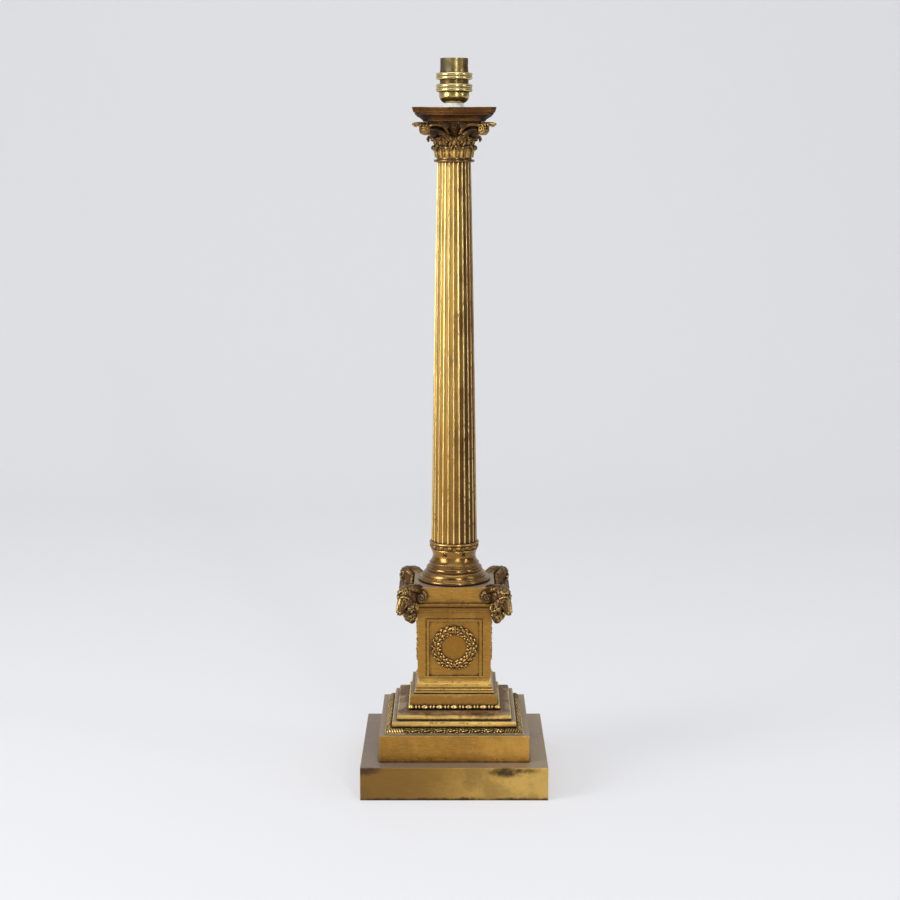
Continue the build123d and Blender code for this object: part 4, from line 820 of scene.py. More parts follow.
def ram_head():
    """A ram's head that looks out along +X, with its nostrils, mouth and a painted highlight down the bridge
    of its nose.
    """
    parts = [
        ball((5.2, 0, -5.2), (10.2, 7.6, 9.6)),
        ball((11.2, 0, -6.0), (7.4, 6.8, 7.2)),
        limb([(4, 0, -2.4), (-3, 0, -1.6), (-9, 0, -3.4), (-13, 0, -6)], 12, (6.2, 4.2), 20),
        limb(
            [(12.8, 0, -7.5), (16.4, 0, -12), (18.6, 0, -17.5), (19.2, 0, -22.0)],
            16,
            [(0, 5.8), (0.3, 4.9), (0.7, 4.1), (1, 3.9)],
            24,
        ),
        ball((15.4, 0, -21.6), (4.0, 3.2, 3.0)),
        limb([(5, 0, -8), (5.0, 0, -17), (4.4, 0, -25), (3.4, 0, -32)], 14, (7.6, 4.6), 24),
        limb([(16.6, 0, -5), (19.3, 0, -10), (21.8, 0, -16), (22.8, 0, -20.5)], 14, (1.7, 1.1), 12),
        *ram_side(-1),
        *ram_side(1),
        *fleece((11.4, 0, -3.4), (7.6, 6.2, 5.4), 44, 2.1, lambda w: w[2] > 0.05 and w[0] > -0.15, 3),
        *fleece((3.6, 0, -30.6), (3.8, 4.0, 4.6), 18, 1.9, lambda w: w[2] < 0.4, 8),
    ]
    points, faces, _ = roughened(fused(parts, 0.40), 0.10, 2.2)
    for side in (-1, 1):
        nostril = np.linalg.norm(points - (22.4, 2.0 * side, -22.6), axis=1)
        points[:, 0] -= 1.3 * np.exp(-((nostril / 0.9) ** 2))
    mouth = np.abs(points[:, 2] + 23.2 + 0.28 * (points[:, 0] - 20.0)) / 0.5
    snout = np.clip((points[:, 0] - 14.5) / 2.0, 0, 1)
    points[:, 0] -= 0.9 * snout * np.exp(-(mouth**2))
    points, faces, deep = chased(shell(points, faces))
    # Painted highlight down the bridge of the nose.
    along = BRIDGE_TIP - BRIDGE_FOOT
    share = np.clip((points - BRIDGE_FOOT) @ along / (along @ along), 0, 1)
    off = np.linalg.norm(points - BRIDGE_FOOT - share[:, None] * along, axis=1)
    deep -= 0.6 * np.exp(-((off / 2.0) ** 2))
    return points + (CAP_CORNER, 0, CAP_TOP), faces, deep


head_skin = ram_head()
for corner, degrees in HEADS.items():
    piece(f"ram_{corner}", spun(head_skin, degrees), f"ram_head_{corner}")


# ---- laurel wreaths ----
# Built facing +Z, with the back at zero.
W_LOW, W_HIGH = box_mm("wreath_front")
WREATH_R = (W_HIGH[0] - W_LOW[0]) / 2
WREATH_BORE = 13.0
WREATH_RELIEF = W_HIGH[1] - W_LOW[1]
RING_R = (WREATH_R + WREATH_BORE) / 2
RING_HALF = (WREATH_R - WREATH_BORE) / 2
LEAF_TIERS = 10
# Each row of leaves: its place across the ring, how far it leans out, and its lift.
LEAF_ROWS = ((-1, -0.75, 1.3), (1, 0.8, 1.3), (-0.38, -0.35, 2.2), (0.40, 0.38, 2.2))
WREATHS = {"front": 0, "right": 90, "back": 180, "left": 270}


def laurel_leaf(at, way, length):
    """A pointed leaf along way, and the vein on it."""
    across = Vector(UP).cross(way).normalized()
    stand = Matrix((across, way.cross(across), way)).transposed().to_4x4()
    leaf = ball((0, 0, 0), (1.6, 0.85, length), rows=10, columns=12)
    vein = [at + np.array(way) * x + (0, 0, 0.85 - 0.05 * x * x) for x in (-2.4, -1, 1, 2.4)]
    return [moved(moved(leaf, stand), Matrix.Translation(at)), tube(vein, 0.3, sides=6)]


def laurel_spray(side, rng):
    """Half of the leaves, from the bow round to the band, with pairs of berries between them."""
    parts = []
    for k in range(LEAF_TIERS):
        for row, lean, lift in LEAF_ROWS:
            stagger = 0.5 if abs(row) < 1 else 0.0
            a = math.radians(-90 + side * (8 + 166 * (k + stagger) / LEAF_TIERS))
            outward = np.array(polar(1, a, 0))
            ahead = np.array((-outward[1], outward[0], 0)) * side
            at = outward * (RING_R + row * (RING_HALF - 2.3)) + (0, 0, lift)
            turn = lean + rng.uniform(-0.25, 0.25)
            way = Vector(ahead + outward * turn + (0, 0, 0.34 + rng.uniform(-0.12, 0.12))).normalized()
            parts += laurel_leaf(at, way, 3.7 * rng.uniform(0.85, 1.1))
        if k % 3 == 1:
            for row in (-0.7, 0.7):
                berry = outward * (RING_R + row * RING_HALF) + (0, 0, 2.8)
                parts.append(ball(berry, 0.95, rows=8, columns=10))
    return parts


def wreath_band():
    """Three cords tied round the ring at its top."""
    section = ((-1, 0.8), (-0.7, 2.6), (0, 3.5), (0.7, 2.6), (1, 0.8))
    half = RING_HALF - 0.8
    cords = []
    for shift in (-1.2, 0, 1.2):
        cords.append(limb([(-shift, RING_R + x * half, z) for x, z in section], 14, 0.75))
    return cords


def wreath_bow():
    """A knot at the ring's foot with two loops and two tails."""
    knot = np.array((0, -RING_R, 0))
    parts = [ball(knot + (0, 0, 2.4), (2.4, 2.2, 1.6))]
    loop = ((0.5, 0, 2.4), (3.2, 2.2, 3.0), (5.0, 0.2, 2.6), (3.0, -1.6, 2.8), (0.5, 0, 2.6))
    tail = ((0.4, -0.6, 2.4), (2.0, -2.6, 2.2), (4.6, -3.2, 1.6))
    for side in (-1, 1):
        parts.append(limb(knot + np.array(loop) * (side, 1, 1), 16, 0.9, thick=0.7))
        parts.append(limb(knot + np.array(tail) * (side, 1, 1), 10, 0.95, thick=0.6))
    return parts


def wreath():
    """Two laurel sprays on a ring, which rise from a bow and meet under a band, darker the deeper they lie,
    as patina and painted shade.
    """
    rng = random.Random(17)
    parts = [
        tube(ring(RING_R, 1.0), RING_HALF - 1.1, 1.7, sides=16, facing=UP),
        *laurel_spray(-1, rng),
        *laurel_spray(1, rng),
        *wreath_band(),
        *wreath_bow(),
    ]
    points, faces, _ = roughened(fused(parts, 0.30), 0.10, 1.6)
    far = np.hypot(points[:, 0], points[:, 1])
    points[:, :2] *= np.minimum(1.0, (WREATH_R - 0.05) / far)[:, None]
    points[:, 2] = np.clip(points[:, 2], 0.02, WREATH_RELIEF - 0.02)
    # Points low in the relief are darkened: patina and painted shade between the leaves.
    return chased(shell(points, faces, np.clip((2.2 - points[:, 2]) / 1.9, 0, 1)))


stand_up = Matrix.Rotation(math.radians(90), 4, "X")
wreath_skin = moved(wreath(), Matrix.Translation((0, W_HIGH[1], (W_LOW[2] + W_HIGH[2]) / 2)) @ stand_up)
for side, degrees in WREATHS.items():
    piece(f"laurel_{side}", spun(wreath_skin, degrees), f"wreath_{side}")


# ---- capital ----
BELL_Z = box_mm("capital_bell")[0][2]
ABACUS_Z, ABACUS_TOP = levels_of("abacus")
ABACUS_HALF = box_mm("abacus")[1][0]
LEAVES_PER_ROW = 8
LEAF_WIDTH = 15.5
LEAF_T = 1.4
LEAF_RIBS = 3
LEAF_NOTCH = 0.34


def bent(rows, side):
    """Points given as (degrees round the axis, radius, drop below the abacus), mirrored for side=-1."""
    return [polar(r, math.radians(turn * side), ABACUS_Z - drop) for turn, r, drop in rows]


def acanthus(spine, lobes, seed):
    """A leaf on the +X side. spine is its middle line, from foot to curled tip, as (radius, height)."""
    rows, columns = 44, 33
    line = smooth_path([(r, 0, z) for r, z in spine], rows)
    points, deep = [], []
    for i, (r, _, z) in enumerate(line):
        s = i / (rows - 1)
        outline = np.interp(s, (0, 0.35, 0.62, 0.8, 0.93, 1.0), (0.40, 0.42, 0.50, 0.44, 0.34, 0.20))
        lobe = abs(math.sin(math.pi * lobes * s)) ** 0.55
        half = LEAF_WIDTH * outline * (1 - LEAF_NOTCH * (1 - lobe) * (s > 0.12))
        ahead = line[min(i + 1, rows - 1)] - line[max(i - 1, 0)]
        ahead /= np.linalg.norm(ahead)
        out = np.array((ahead[2], 0, -ahead[0]))
        for t in np.linspace(-1, 1, columns):
            rib = math.cos(math.pi * LEAF_RIBS * t)
            fold = 0.34 * rib * (1 - 0.3 * s) - 0.11 * LEAF_WIDTH * t * t * (1 - 0.5 * s)
            fold += 0.55 * math.exp(-((t / 0.10) ** 2))
            at = np.array((r, 0, z)) + out * fold
            points.append(polar(at[0], t * half / max(r, 1), at[2]))
            # Darker in the rib valleys: patina and painted shade.
            deep.append(np.clip(0.45 - 0.6 * rib + 0.3 * ripple(t * 4, s * 5, seed), 0, 0.9))
    item = shell(points, [tuple(reversed(f)) for f in grid_faces(rows, columns)], deep)
    return chased(roughened(thickened(item, LEAF_T), 0.15, 2.5, seed))


def leaf_row(foot_r, climb, lobes, seed, first):
    """A ring of leaves. climb is each spine's way up, as (outwards from foot_r, above the bell's foot)."""
    spine = [(foot_r + out, BELL_Z + up) for out, up in climb]
    return around(acanthus(spine, lobes, seed), LEAVES_PER_ROW, first)


VOLUTE_ARCH = (
    (-31, 20.5, 17.0), (-27.5, 22.8, 9.5), (-20, 27.5, 4.6),
    (-11, 33.0, 3.2), (-4.6, 38.6, 4.6), (-3.4, 41.8, 8.4),
)
VOLUTE_HUSK = ((-33, 19.5, 19.5), (-24, 21.5, 15.0), (-15, 25.5, 11.0), (-8, 30.5, 8.6), (-4, 35.0, 8.4))


def volute_side(eye, side):
    """What one side of a corner scroll has: lobes, the arch from the bell, locks of wool and a husk."""
    z = ABACUS_Z
    parts = []
    for k in range(3):
        root = np.array((38.5 + 4.0 * k, side * 2.2, z - 2.8))
        lobe = [root, root + (2.6, side * 1.3, -0.5), root + (4.6, side * 1.1, -1.9)]
        parts.append(limb(lobe, 8, (1.1, 0.5), thick=0.6, facing=UP))
    arch_widths = np.array([(0, 1.1), (0.25, 1.9), (0.7, 1.7), (1, 1.0)])
    parts.append(limb(bent(VOLUTE_ARCH, side), 40, arch_widths, 12, thick=arch_widths * (1, 0.8)))
    cheek = np.array(eye) + (0, side * 2.9, 0)
    parts.append(curl(cheek, (0.1, side, 0.1), 3.7, turns=1.7, hand=side))
    for k in range(3):
        lock = cheek + (2.4 - 3.2 * k, -side * 0.4, 3.4 + 0.5 * k)
        parts.append(curl(lock, (0.5 - 0.4 * k, side, 0.5), 1.7, turns=1.3, hand=-side))
    husk = bent(VOLUTE_HUSK, side)
    parts.append(limb(husk, 24, (1.4, 2.8, 1.4), 12))
    for share in (0.3, 0.5, 0.7):
        foot = np.array(husk[1]) * (1 - share) + np.array(husk[3]) * share
        frond = [foot, foot + (2.4, side * 1.6, 1.6), foot + (3.6, side * 1.8, -0.6)]
        parts.append(limb(frond, 10, (1.3, 0.7)))
    return parts


def volute():
    """A corner scroll on the +X diagonal, the pointed leaf over it, and its two sides."""
    z = ABACUS_Z
    eye = (40.5, 0, z - 8.2)
    drops = ((19.5, 13.6), (23.0, 9.0), (28.5, 5.4), (34.5, 3.6), (40.0, 3.6))
    stalk = [(x, 0, z - drop) for x, drop in drops]
    path = smooth_path(stalk + spiral(eye, AHEAD, UP, 4.4, 1.0, 62, -1.6, 14), 90)
    width = spread([(0, 2.8), (0.3, 3.9), (0.6, 4.2), (1, 3.2)], len(path))
    wave = 1 + 0.14 * np.sin(np.linspace(0, 1, len(path)) * math.pi * 40)
    parts = [tube(path, width * wave, 1.0 * wave**2, sides=16, facing=UP)]
    for edge in (-1, 1):
        parts.append(tube(path + np.outer(width * edge * 0.92, ASIDE), 0.6, sides=8))
    tip = smooth_path([(36.0, 0, z - 2.8), (45.0, 0, z - 2.2), (52.5, 0, z - 2.4), (57.2, 0, z - 3.4)], 20)
    tip_widths = spread([(0, 3.2), (0.3, 3.6), (0.75, 2.3), (1, 1.5)], len(tip))
    parts.append(tube(tip, tip_widths, 1.3, sides=12, facing=UP))
    parts.append(tube(tip + (0, 0, 0.7), 0.45, sides=8))
    parts += volute_side(eye, -1) + volute_side(eye, 1)
    parts.append(ball((26.5, 0, z - 9.0), (9.0, 5.5, 6.2)))
    points, faces, deep = chased(roughened(fused(parts, 0.38), 0.12, 1.8, 4.0))
    # Painted shade under the arch and beneath the abacus slab, and a painted highlight that brightens the
    # scroll's outer end.
    shaded = np.linalg.norm((points - (27.0, 0, z - 9.6)) / (8.5, 9.0, 5.0), axis=1)
    deep = np.maximum(deep, np.clip(1.6 - shaded, 0, 1))
    under_slab = (points[:, 0] < 37) & (points[:, 2] > z - 6.5)
    deep = np.where(under_slab, np.maximum(deep, 0.45), deep)
    return points, faces, deep - 0.15 * (points[:, 0] > 36) * (deep < 0.4)


def shaded_up(item):
    """Painted shade, darker towards the abacus under the slab."""
    points, faces, deep = item
    return points, faces, np.maximum(deep, np.clip((points[:, 2] - ABACUS_Z + 9.0) / 5.0, -1, 0.7))


def helices():
    """Two small coils under the middle of the +X side of the abacus, and the stalks that they spring from."""
    parts = []
    for side in (-1, 1):
        stem = bent(((22.32, 19.4, 21.0), (21.6, 19.8, 16.0), (22.32, 21.2, 11.4)), side)
        centre = np.array((25.9, side * 8.4, ABACUS_Z - 4.6))
        coil = spiral(centre, (0, side, 0), UP, 3.0, 0.7, 20, 1.55, 14, rise=(1.6, 0, 0))
        parts.append(limb(stem + coil, 70, (1.3, 0.75), 10))
        parts.append(ball(centre + (1.9, 0, 0), 0.9, rows=8, columns=10))
        cup = np.array(stem[1])
        parts.append(ball(cup, (1.9, 2.2, 2.4), rows=10, columns=12))
        for k in (-1, 0, 1):
            frond = [cup + (0.6, k * 0.6, 0), cup + (2.0, k * 1.9, 3.0), cup + (3.6, k * 3.0, 4.2)]
            parts.append(limb(frond, 10, (1.2, 0.4), thick=0.6, facing=AHEAD))
    return shaded_up(chased(fused(parts, 0.36), light=3.0))


def flower():
    """A small rosette on the bell's lip, in the middle of the +X side."""
    petals = 6
    at = np.array((25.6, 0, ABACUS_Z - 3.6))
    parts = [ball(at + (1.0, 0, 0), (1.2, 1.15, 1.15)), ball(at - (1.6, 0, 0), (2.2, 2.4, 2.4))]
    for a in circle(petals):
        petal = at + (0, 2.3 * math.cos(a), 2.3 * math.sin(a))
        parts.append(ball(petal, (1.0, 1.35, 1.35), rows=8, columns=12))
    return shaded_up(chased(fused(parts, 0.3), light=5.0))


LOW_CLIMB = ((0, 0.1), (0.9, 3.2), (1.3, 6.6), (2.6, 9.6), (4.3, 10.6), (5.0, 9.3), (4.6, 7.9))
HIGH_CLIMB = (
    (0, 0.3), (0.8, 6), (1.2, 12.5), (3.2, 18.2),
    (6.8, 20.6), (9.6, 19.8), (10.0, 17.6), (9.0, 16.4),
)
lower_leaves = leaf_row(17.0, LOW_CLIMB, lobes=4, seed=2.0, first=22.5)
upper_leaves = leaf_row(16.9, HIGH_CLIMB, lobes=6, seed=5.0, first=0)
piece("lower_leaves", lower_leaves, "capital_lower_leaves", crease=80)
piece("upper_leaves", upper_leaves, "capital_upper_leaves", crease=80)
piece("volutes", around(volute(), 4, 45), "capital_volutes")
piece("helices", around(helices(), 4), "capital_helices")
piece("flowers", around(flower(), 4), "abacus_flowers")


# ---- abacus ----
HORN = 5.0
SAG = 6.5
BORE_R = 5.4


def abacus_outline(inset):
    """The abacus's plan, set in from its widest: four hollow sides between blunt horns."""
    half = ABACUS_HALF - inset
    sag = SAG - 0.24 * inset
    end = half - HORN
    points = []
    for turn in QUARTERS:
        for t in np.linspace(-1, 1, 29):
            points.append(quarter_turned(half - sag * (1 - t * t), t * end, turn))
        for t in (0.25, 0.5, 0.75):
            points.append(quarter_turned(half - t * HORN, end + t * HORN, turn))
    return np.array(points)


def abacus():
    """The slab over the capital: a hollow underside, a fillet and a slanting fascia with a thin lip."""
    low, top = ABACUS_Z, ABACUS_TOP
    cove = np.linspace(0, 1, 9)
    levels = [(3.4 + 7.0 * math.cos(share * math.pi / 2), low + 6.0 * share) for share in cove]
    levels += [(3.3, low + 6.25), (3.0, low + 6.45), (2.9, low + 7.3), (3.2, low + 7.55)]
    levels += [(3.1, low + 7.9), (1.5, low + 8.2)]
    levels += [(1.5 - 1.1 * share, low + 8.4 + 3.4 * share) for share in (0, 0.5, 1)]
    levels += [(0.7, top - 1.5), (0.15, top - 1.2), (0.0, top - 0.7), (0.1, top - 0.25), (0.6, top)]
    bore = abacus_outline(0)
    bore = bore / np.linalg.norm(bore, axis=1)[:, None] * BORE_R
    plans = [(bore, low)] + [(abacus_outline(inset), z) for inset, z in levels]
    plans += [(abacus_outline(0.6) * (1 - share) + bore * share, top) for share in (0.3, 0.65)]
    plans.append((bore, top))
    rows = [np.column_stack([plan, np.full(len(bore), z)]) for plan, z in plans]
    points, faces, _ = roughened(loft(np.vstack(rows), len(rows), len(bore)), 0.16, 7.0, 9.0)
    # The groove line is darkened, and painted shade darkens the underside towards each horn.
    deep = np.where(np.abs(points[:, 2] - low - 7.8) < 0.25, 0.8, 0.0)
    shade_under_horn = np.clip((np.hypot(points[:, 0], points[:, 1]) - 37.0) / 5.0, 0, 0.9)
    return points, faces, np.maximum(deep, shade_under_horn * (points[:, 2] < low + 6.3))


piece("abacus_slab", abacus(), "abacus", crease=35)


# ---- scalloped collar ----
COLLAR_Z, COLLAR_TOP = levels_of("shaft_collar")
SCALLOPS = 16


def collar():
    """A rounded band over a row of scallops that stand out like a crown."""
    bands = (
        (24.0, COLLAR_TOP - 1.5, 1.7, 1.4),
        (22.6, COLLAR_Z + 1.0, 1.3, 1.3),
        (22.4, COLLAR_Z + 5.0, 1.4, 4.4),
    )
    parts = [tube(ring(r, z), wide, thick, sides=16, facing=UP) for r, z, wide, thick in bands]
    for k in range(SCALLOPS):
        at = polar(22.5, 2 * math.pi * (k + 0.5) / SCALLOPS, COLLAR_TOP - 4.5)
        parts.append(ball(at, (3.1, 3.1, 3.0)))
    points, faces, _ = roughened(fused(parts, 0.40), 0.12, 2.0, 3.0)
    points[:, 2] = np.clip(points[:, 2], COLLAR_Z, COLLAR_TOP)
    return chased(shell(points, faces))


piece("crown_collar", collar(), "shaft_collar")


# ---- carved leaf band ----
LEAF_Z, LEAF_TOP = levels_of("leaf_moulding")
BAND_FOOT = 70.6
BAND_HEAD = 63.6
BAND_BORE = 48.0
BAND_CARVED = 51.0
BAND_WAVES = 8
BAND_SLOPE = 8.2
CORNER_RIB = 2.6


def leaf_relief(x, v):
    """Height from 0 to 1 of a waving stem with flowers, at x along a side and v up the band from 0 to 1."""
    beyond = abs(x) - BAND_CARVED
    if beyond > 0:
        rib = abs(math.cos(math.pi * (beyond / CORNER_RIB - 1.2 * v))) ** 1.4
        return 0.6 * rib * min(1.0, beyond) * math.sin(math.pi * v) ** 0.5
    period = 2 * BAND_CARVED / BAND_WAVES
    stem = abs(v - 0.5 - 0.26 * math.sin(2 * math.pi * x / period)) * BAND_SLOPE
    height = 0.9 * math.exp(-((stem / 0.6) ** 2))
    for k in (-1, 0, 1):
        half_wave = math.floor(2 * x / period) + k
        dx = x - (half_wave + 0.5) * period / 2
        dv = (v - (0.56 if half_wave % 2 else 0.44)) * BAND_SLOPE
        far = math.hypot(dx, dv)
        petal = max(0.0, math.cos(5 * math.atan2(dv, dx) + 0.9 * far)) ** 0.7
        bud = math.exp(-((far / 0.9) ** 2))
        leaf = petal * math.exp(-(((far - 2.6) / 1.1) ** 2))
        height = max(height, bud, leaf)
    return height * min(1.0, -beyond / 1.5)


def leaf_band():
    """A mitred ring with a lower lip brightened as wear and painted highlight, a slope of carving that is
    dark low down and bright on its crests, and a ribbed leaf at each corner.
    """
    rows, columns = 26, 300
    lip = [(BAND_BORE, LEAF_Z), (BAND_FOOT - 0.4, LEAF_Z)]
    lip += [(BAND_FOOT, LEAF_Z + 0.35), (BAND_FOOT - 0.5, LEAF_Z + 0.75)]
    slope = []
    for v in np.linspace(0, 1, rows):
        r = BAND_FOOT - 1.0 + (BAND_HEAD - BAND_FOOT + 1.0) * v
        z = LEAF_Z + 0.7 + (LEAF_TOP - LEAF_Z - 0.75) * v + 0.9 * math.sin(math.pi * v)
        slope.append((r, min(z, LEAF_TOP)))
    profile = lip + slope + [(BAND_BORE, LEAF_TOP)]
    points, deep = [], []
    for row, (r, z) in enumerate(profile):
        v = (row - len(lip)) / (rows - 1)
        carved = 0 < v < 1
        for turn in QUARTERS:
            for t in np.linspace(-1, 1, columns, endpoint=False):
                h = leaf_relief(t * r, v) if carved else 0.0
                x, y = quarter_turned(r - 0.5 + 1.5 * h, t * (r - 0.5 + 0.6 * h), turn)
                points.append((x, y, z + 0.9 * h))
                # The carving is dark low down, as patina and painted shade, and bright on its crests and on
                # the lip, as wear and painted highlight.
                deep.append(1.0 - 2.5 * h if carved else -0.8 * (0 < row < len(lip)))
    return roughened(loft(points, len(profile), 4 * columns, deep), 0.12, 2.2, 6.0)


piece("leaf_band", leaf_band(), "leaf_moulding", crease=60)


# ---- bead-and-reel row ----
BEAD_Z, BEAD_TOP = levels_of("bead_moulding")
BEAD_LINE = box_mm("bead_moulding")[1][0] - 2.45
BEADS = 6
BEAD_HALF = 4.1
REEL_HALF = 1.15
REEL_AT = 1.55
BED_OUT = 44.0
BED_IN = 35.8


def bead_row():
    """Long beads with pairs of thin reels between them, on a plain bed: crests brightened as wear and painted
    highlight, gaps and bed darkened as patina and painted shade.
    """
    pitch = 2 * BEAD_LINE / BEADS
    middle_z = (BEAD_Z + BEAD_TOP) / 2
    sides, steps = 16, 361
    parts = []
    for turn in QUARTERS:
        points, deep = [], []
        for x in np.linspace(-BEAD_LINE, BEAD_LINE, steps):
            t = (x + BEAD_LINE) / pitch % 1
            from_bead = min(t, 1 - t) * pitch
            from_reel = abs(abs(t - 0.5) * pitch - REEL_AT)
            bead = 2.42 * math.sqrt(max(0.0, 1 - (from_bead / BEAD_HALF) ** 2))
            reel = 2.2 * math.sqrt(max(0.0, 1 - (from_reel / REEL_HALF) ** 4))
            r = max(bead, reel, 1.2)
            points += [(x, -BEAD_LINE - r * math.cos(a), middle_z + r * math.sin(a)) for a in circle(sides)]
            # Bright on the crests and dark in the gaps: wear and painted highlight over patina and painted
            # shade.
            deep += [0.55 - 1.35 * min(1.0, max(0.0, (r - 1.3) / 0.9))] * sides
        parts.append(spun(shell(points, grid_faces(steps, sides, wrap_columns=True), deep), 90 * turn))
        knob, faces, plain = ball((BEAD_LINE, -BEAD_LINE, middle_z), 2.4)
        parts.append(spun((knob, faces, plain - 0.8), 90 * turn))
    bed = [(BED_IN, BEAD_Z), (BED_OUT, BEAD_Z), (BED_OUT, BEAD_TOP), (BED_IN, BEAD_TOP)]
    corners = [(r * x, r * y, z) for r, z in bed for x, y in ((-1, -1), (1, -1), (1, 1), (-1, 1))]
    parts.append(loft(corners, 4, 4, np.full(16, 0.6)))
    return roughened(joined(parts), 0.10, 2.4, 12.0)


piece("bead_row", bead_row(), "bead_moulding", crease=50)


# ---- white bedding under the lampholder ----
FILLER_BORE = 5.2
FILLER_R = 10.6
FILLER_TOP = box_mm("seat_filler")[1][2] - 0.02


def bedding():
    """A mound of white filler, smeared and lumpy, that has run a little onto the abacus."""
    rows, columns = 22, 96
    points = []
    for share in np.linspace(0, 1, rows):
        for a in circle(columns):
            way = Vector(polar(1, a, 0))
            lump = noise.noise(way * 1.6 + Vector((0, 0, share * 1.5)))
            lump += 0.5 * noise.noise(way * 4 + Vector((5, 0, share * 3)))
            run = 1.9 * (1 - share) ** 4 * (0.6 + lump)
            r = FILLER_R - 1.3 * share + 0.8 * lump * math.sin(math.pi * min(share * 1.2, 1)) + max(run, 0)
            points.append(polar(r, a, ABACUS_TOP + (FILLER_TOP - ABACUS_TOP) * share))
    for z in (FILLER_TOP, ABACUS_TOP):
        points += [polar(FILLER_BORE, a, z) for a in circle(columns)]
    return loft(points, rows + 2, columns)


piece("bedding", bedding(), "seat_filler", crease=70)


# ---- springs under the contact plungers ----
COIL_TURNS = 5
COIL_WIRE_R = 0.3


def coil_spring(low, high):
    """A coil of wire that fills the plain sleeve's place."""
    foot = ((low[0] + high[0]) / 2, (low[1] + high[1]) / 2, low[2] + COIL_WIRE_R)
    coil_r = (high[0] - low[0]) / 2 - COIL_WIRE_R
    climb = (0, 0, high[2] - low[2] - 2.2 * COIL_WIRE_R)
    path = spiral(foot, AHEAD, ASIDE, coil_r, coil_r, 0, COIL_TURNS, 24 * COIL_TURNS, rise=climb)
    return tube(path, COIL_WIRE_R, sides=8)


for side in ("left", "right"):
    node = f"plunger_spring_{side}"
    spring_low, spring_high = box_mm(node)
    coil = piece(f"plunger_coil_{side}", coil_spring(spring_low, spring_high), node)
    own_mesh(coil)


# ---- stage, light and camera ----
SWEEP_HALF = 5.0
SWEEP_FRONT = -5.0
SWEEP_BEND = 1.5
SWEEP_BEND_R = 1.2
SWEEP_TOP = 5.0
PALE = (0.80, 0.80, 0.82)
OWN_COLOUR_SHARE = 0.5


def pale():
    """A pale surface that camera and reflections see half at its own colour, and that still takes shadows."""
    t = Skin("pale_floor")
    t.bsdf.inputs["Base Color"].default_value = (*PALE, 1)
    t.bsdf.inputs["Roughness"].default_value = 0.9
    seen = t.node("ShaderNodeEmission")
    seen.inputs["Color"].default_value = (*PALE, 1)
    path = t.node("ShaderNodeLightPath")
    shows = t.math("MAXIMUM", path.outputs["Is Camera Ray"], path.outputs["Is Glossy Ray"])
    shows = t.math("MAXIMUM", shows, path.outputs["Is Transmission Ray"])
    blend = t.node("ShaderNodeMixShader")
    t.link(t.math("MULTIPLY", shows, OWN_COLOUR_SHARE), blend.inputs[0])
    t.link(t.bsdf.outputs[0], blend.inputs[1])
    t.link(seen.outputs[0], blend.inputs[2])
    t.link(blend.outputs[0], t.out.inputs["Surface"])
    return t.material


def sweep():
    """The pale floor, which curves up into a wall behind the lamp."""
    line = [(SWEEP_FRONT, 0.0), (SWEEP_BEND, 0.0)]
    for degrees in range(5, 91, 5):
        a = math.radians(degrees)
        line.append((SWEEP_BEND + SWEEP_BEND_R * math.sin(a), SWEEP_BEND_R * (1 - math.cos(a))))
    line.append((SWEEP_BEND + SWEEP_BEND_R, SWEEP_TOP))
    points = [(x, y, z) for y, z in line for x in (-SWEEP_HALF, SWEEP_HALF)]
    mesh = bpy.data.meshes.new("sweep")
    mesh.from_pydata(points, [], grid_faces(len(line), 2))
    mesh.polygons.foreach_set("use_smooth", [True] * len(mesh.polygons))
    mesh.materials.append(pale())
    made = bpy.data.objects.new("sweep", mesh)
    scene.collection.objects.link(made)
    return made


sweep()


WORLD_LEVEL = 0.13
WORLD_TINT = (0.93, 0.96, 1.0, 1)
# Where the room is lighter: overhead, behind and to the left, as (axis, start, end, by how much).
WORLD_LIGHTER = (("Z", 0.1, 0.9, 0.45), ("Y", -0.2, 0.8, 0.15), ("X", 0.1, -0.9, 0.25))


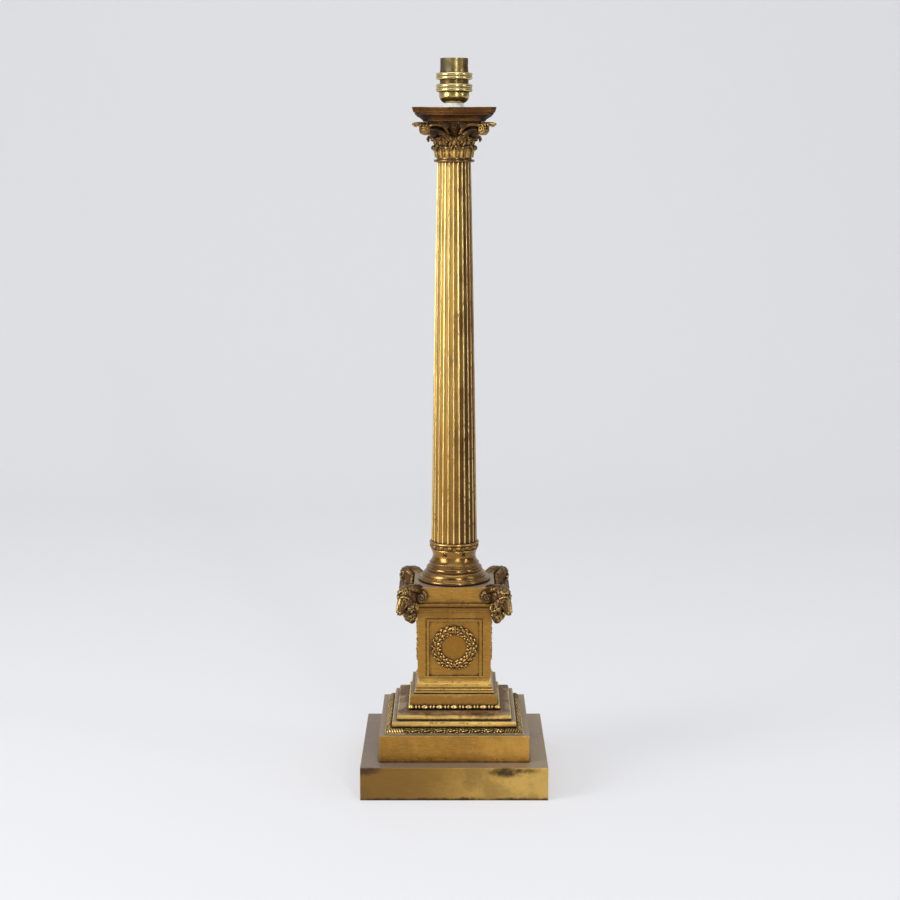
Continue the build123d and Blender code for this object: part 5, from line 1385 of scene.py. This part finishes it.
def studio_world():
    """A dim room: darkest in front and to the right."""
    world = bpy.data.worlds.new("studio")
    world.use_nodes = True
    t = Tree(world.node_tree)
    split = t.node("ShaderNodeSeparateXYZ")
    t.link(t.node("ShaderNodeTexCoord").outputs["Generated"], split.inputs[0])
    strength = WORLD_LEVEL
    for axis, start, end, share in WORLD_LIGHTER:
        strength = t.math("ADD", t.ramp(split.outputs[axis], start, end, 0.0, share), strength)
    back = t.tree.nodes["Background"]
    back.inputs["Color"].default_value = WORLD_TINT
    t.link(strength, back.inputs["Strength"])
    return world


scene.world = studio_world()
LIGHT_AIM = Vector((0, 0, 0.35))


def softbox(name, azimuth, elevation, distance, width, height, watts):
    """A soft rectangular lamp, azimuth degrees right of the front, that looks at the column's middle."""
    data = bpy.data.lights.new(name, "AREA")
    data.shape = "RECTANGLE"
    data.size = width
    data.size_y = height
    data.energy = watts
    lamp = bpy.data.objects.new(name, data)
    a, e = math.radians(azimuth), math.radians(elevation)
    away = Vector((math.sin(a) * math.cos(e), -math.cos(a) * math.cos(e), math.sin(e)))
    lamp.location = LIGHT_AIM + away * distance
    lamp.rotation_mode = "QUATERNION"
    lamp.rotation_quaternion = away.to_track_quat("Z", "Y")
    scene.collection.objects.link(lamp)


softbox("window_left", -60, 16, 2.4, 1.1, 1.7, 42)
softbox("window_right", 18, 12, 2.8, 0.22, 1.7, 24)
softbox("window_side", 66, 18, 2.6, 0.30, 1.6, 10)
softbox("ceiling", 0, 80, 2.4, 2.0, 2.0, 18)

# The photograph's camera, solved from the plinth's and the table's edges. The lamp's axis isn't in its
# middle.
CAMERA_BACK = 1897.86
CAMERA_HEIGHT = 630.25
CAMERA_TILT = 8.69
LENS_PX = 1878.0
PICTURE_PX = 900.0
AXIS_PX = 454.2
SENSOR = 36.0

camera_data = bpy.data.cameras.new("camera")
camera_data.sensor_width = SENSOR
camera_data.lens = SENSOR * LENS_PX / PICTURE_PX
camera_data.shift_x = (PICTURE_PX / 2 - AXIS_PX) / PICTURE_PX
camera_data.clip_start = 0.05
camera_data.clip_end = 50.0
camera = bpy.data.objects.new("camera", camera_data)
camera.location = (0, -CAMERA_BACK * MM, CAMERA_HEIGHT * MM)
camera.rotation_euler = (math.radians(90 - CAMERA_TILT), 0, 0)
scene.collection.objects.link(camera)
scene.camera = camera
scene.view_settings.view_transform = "Standard"
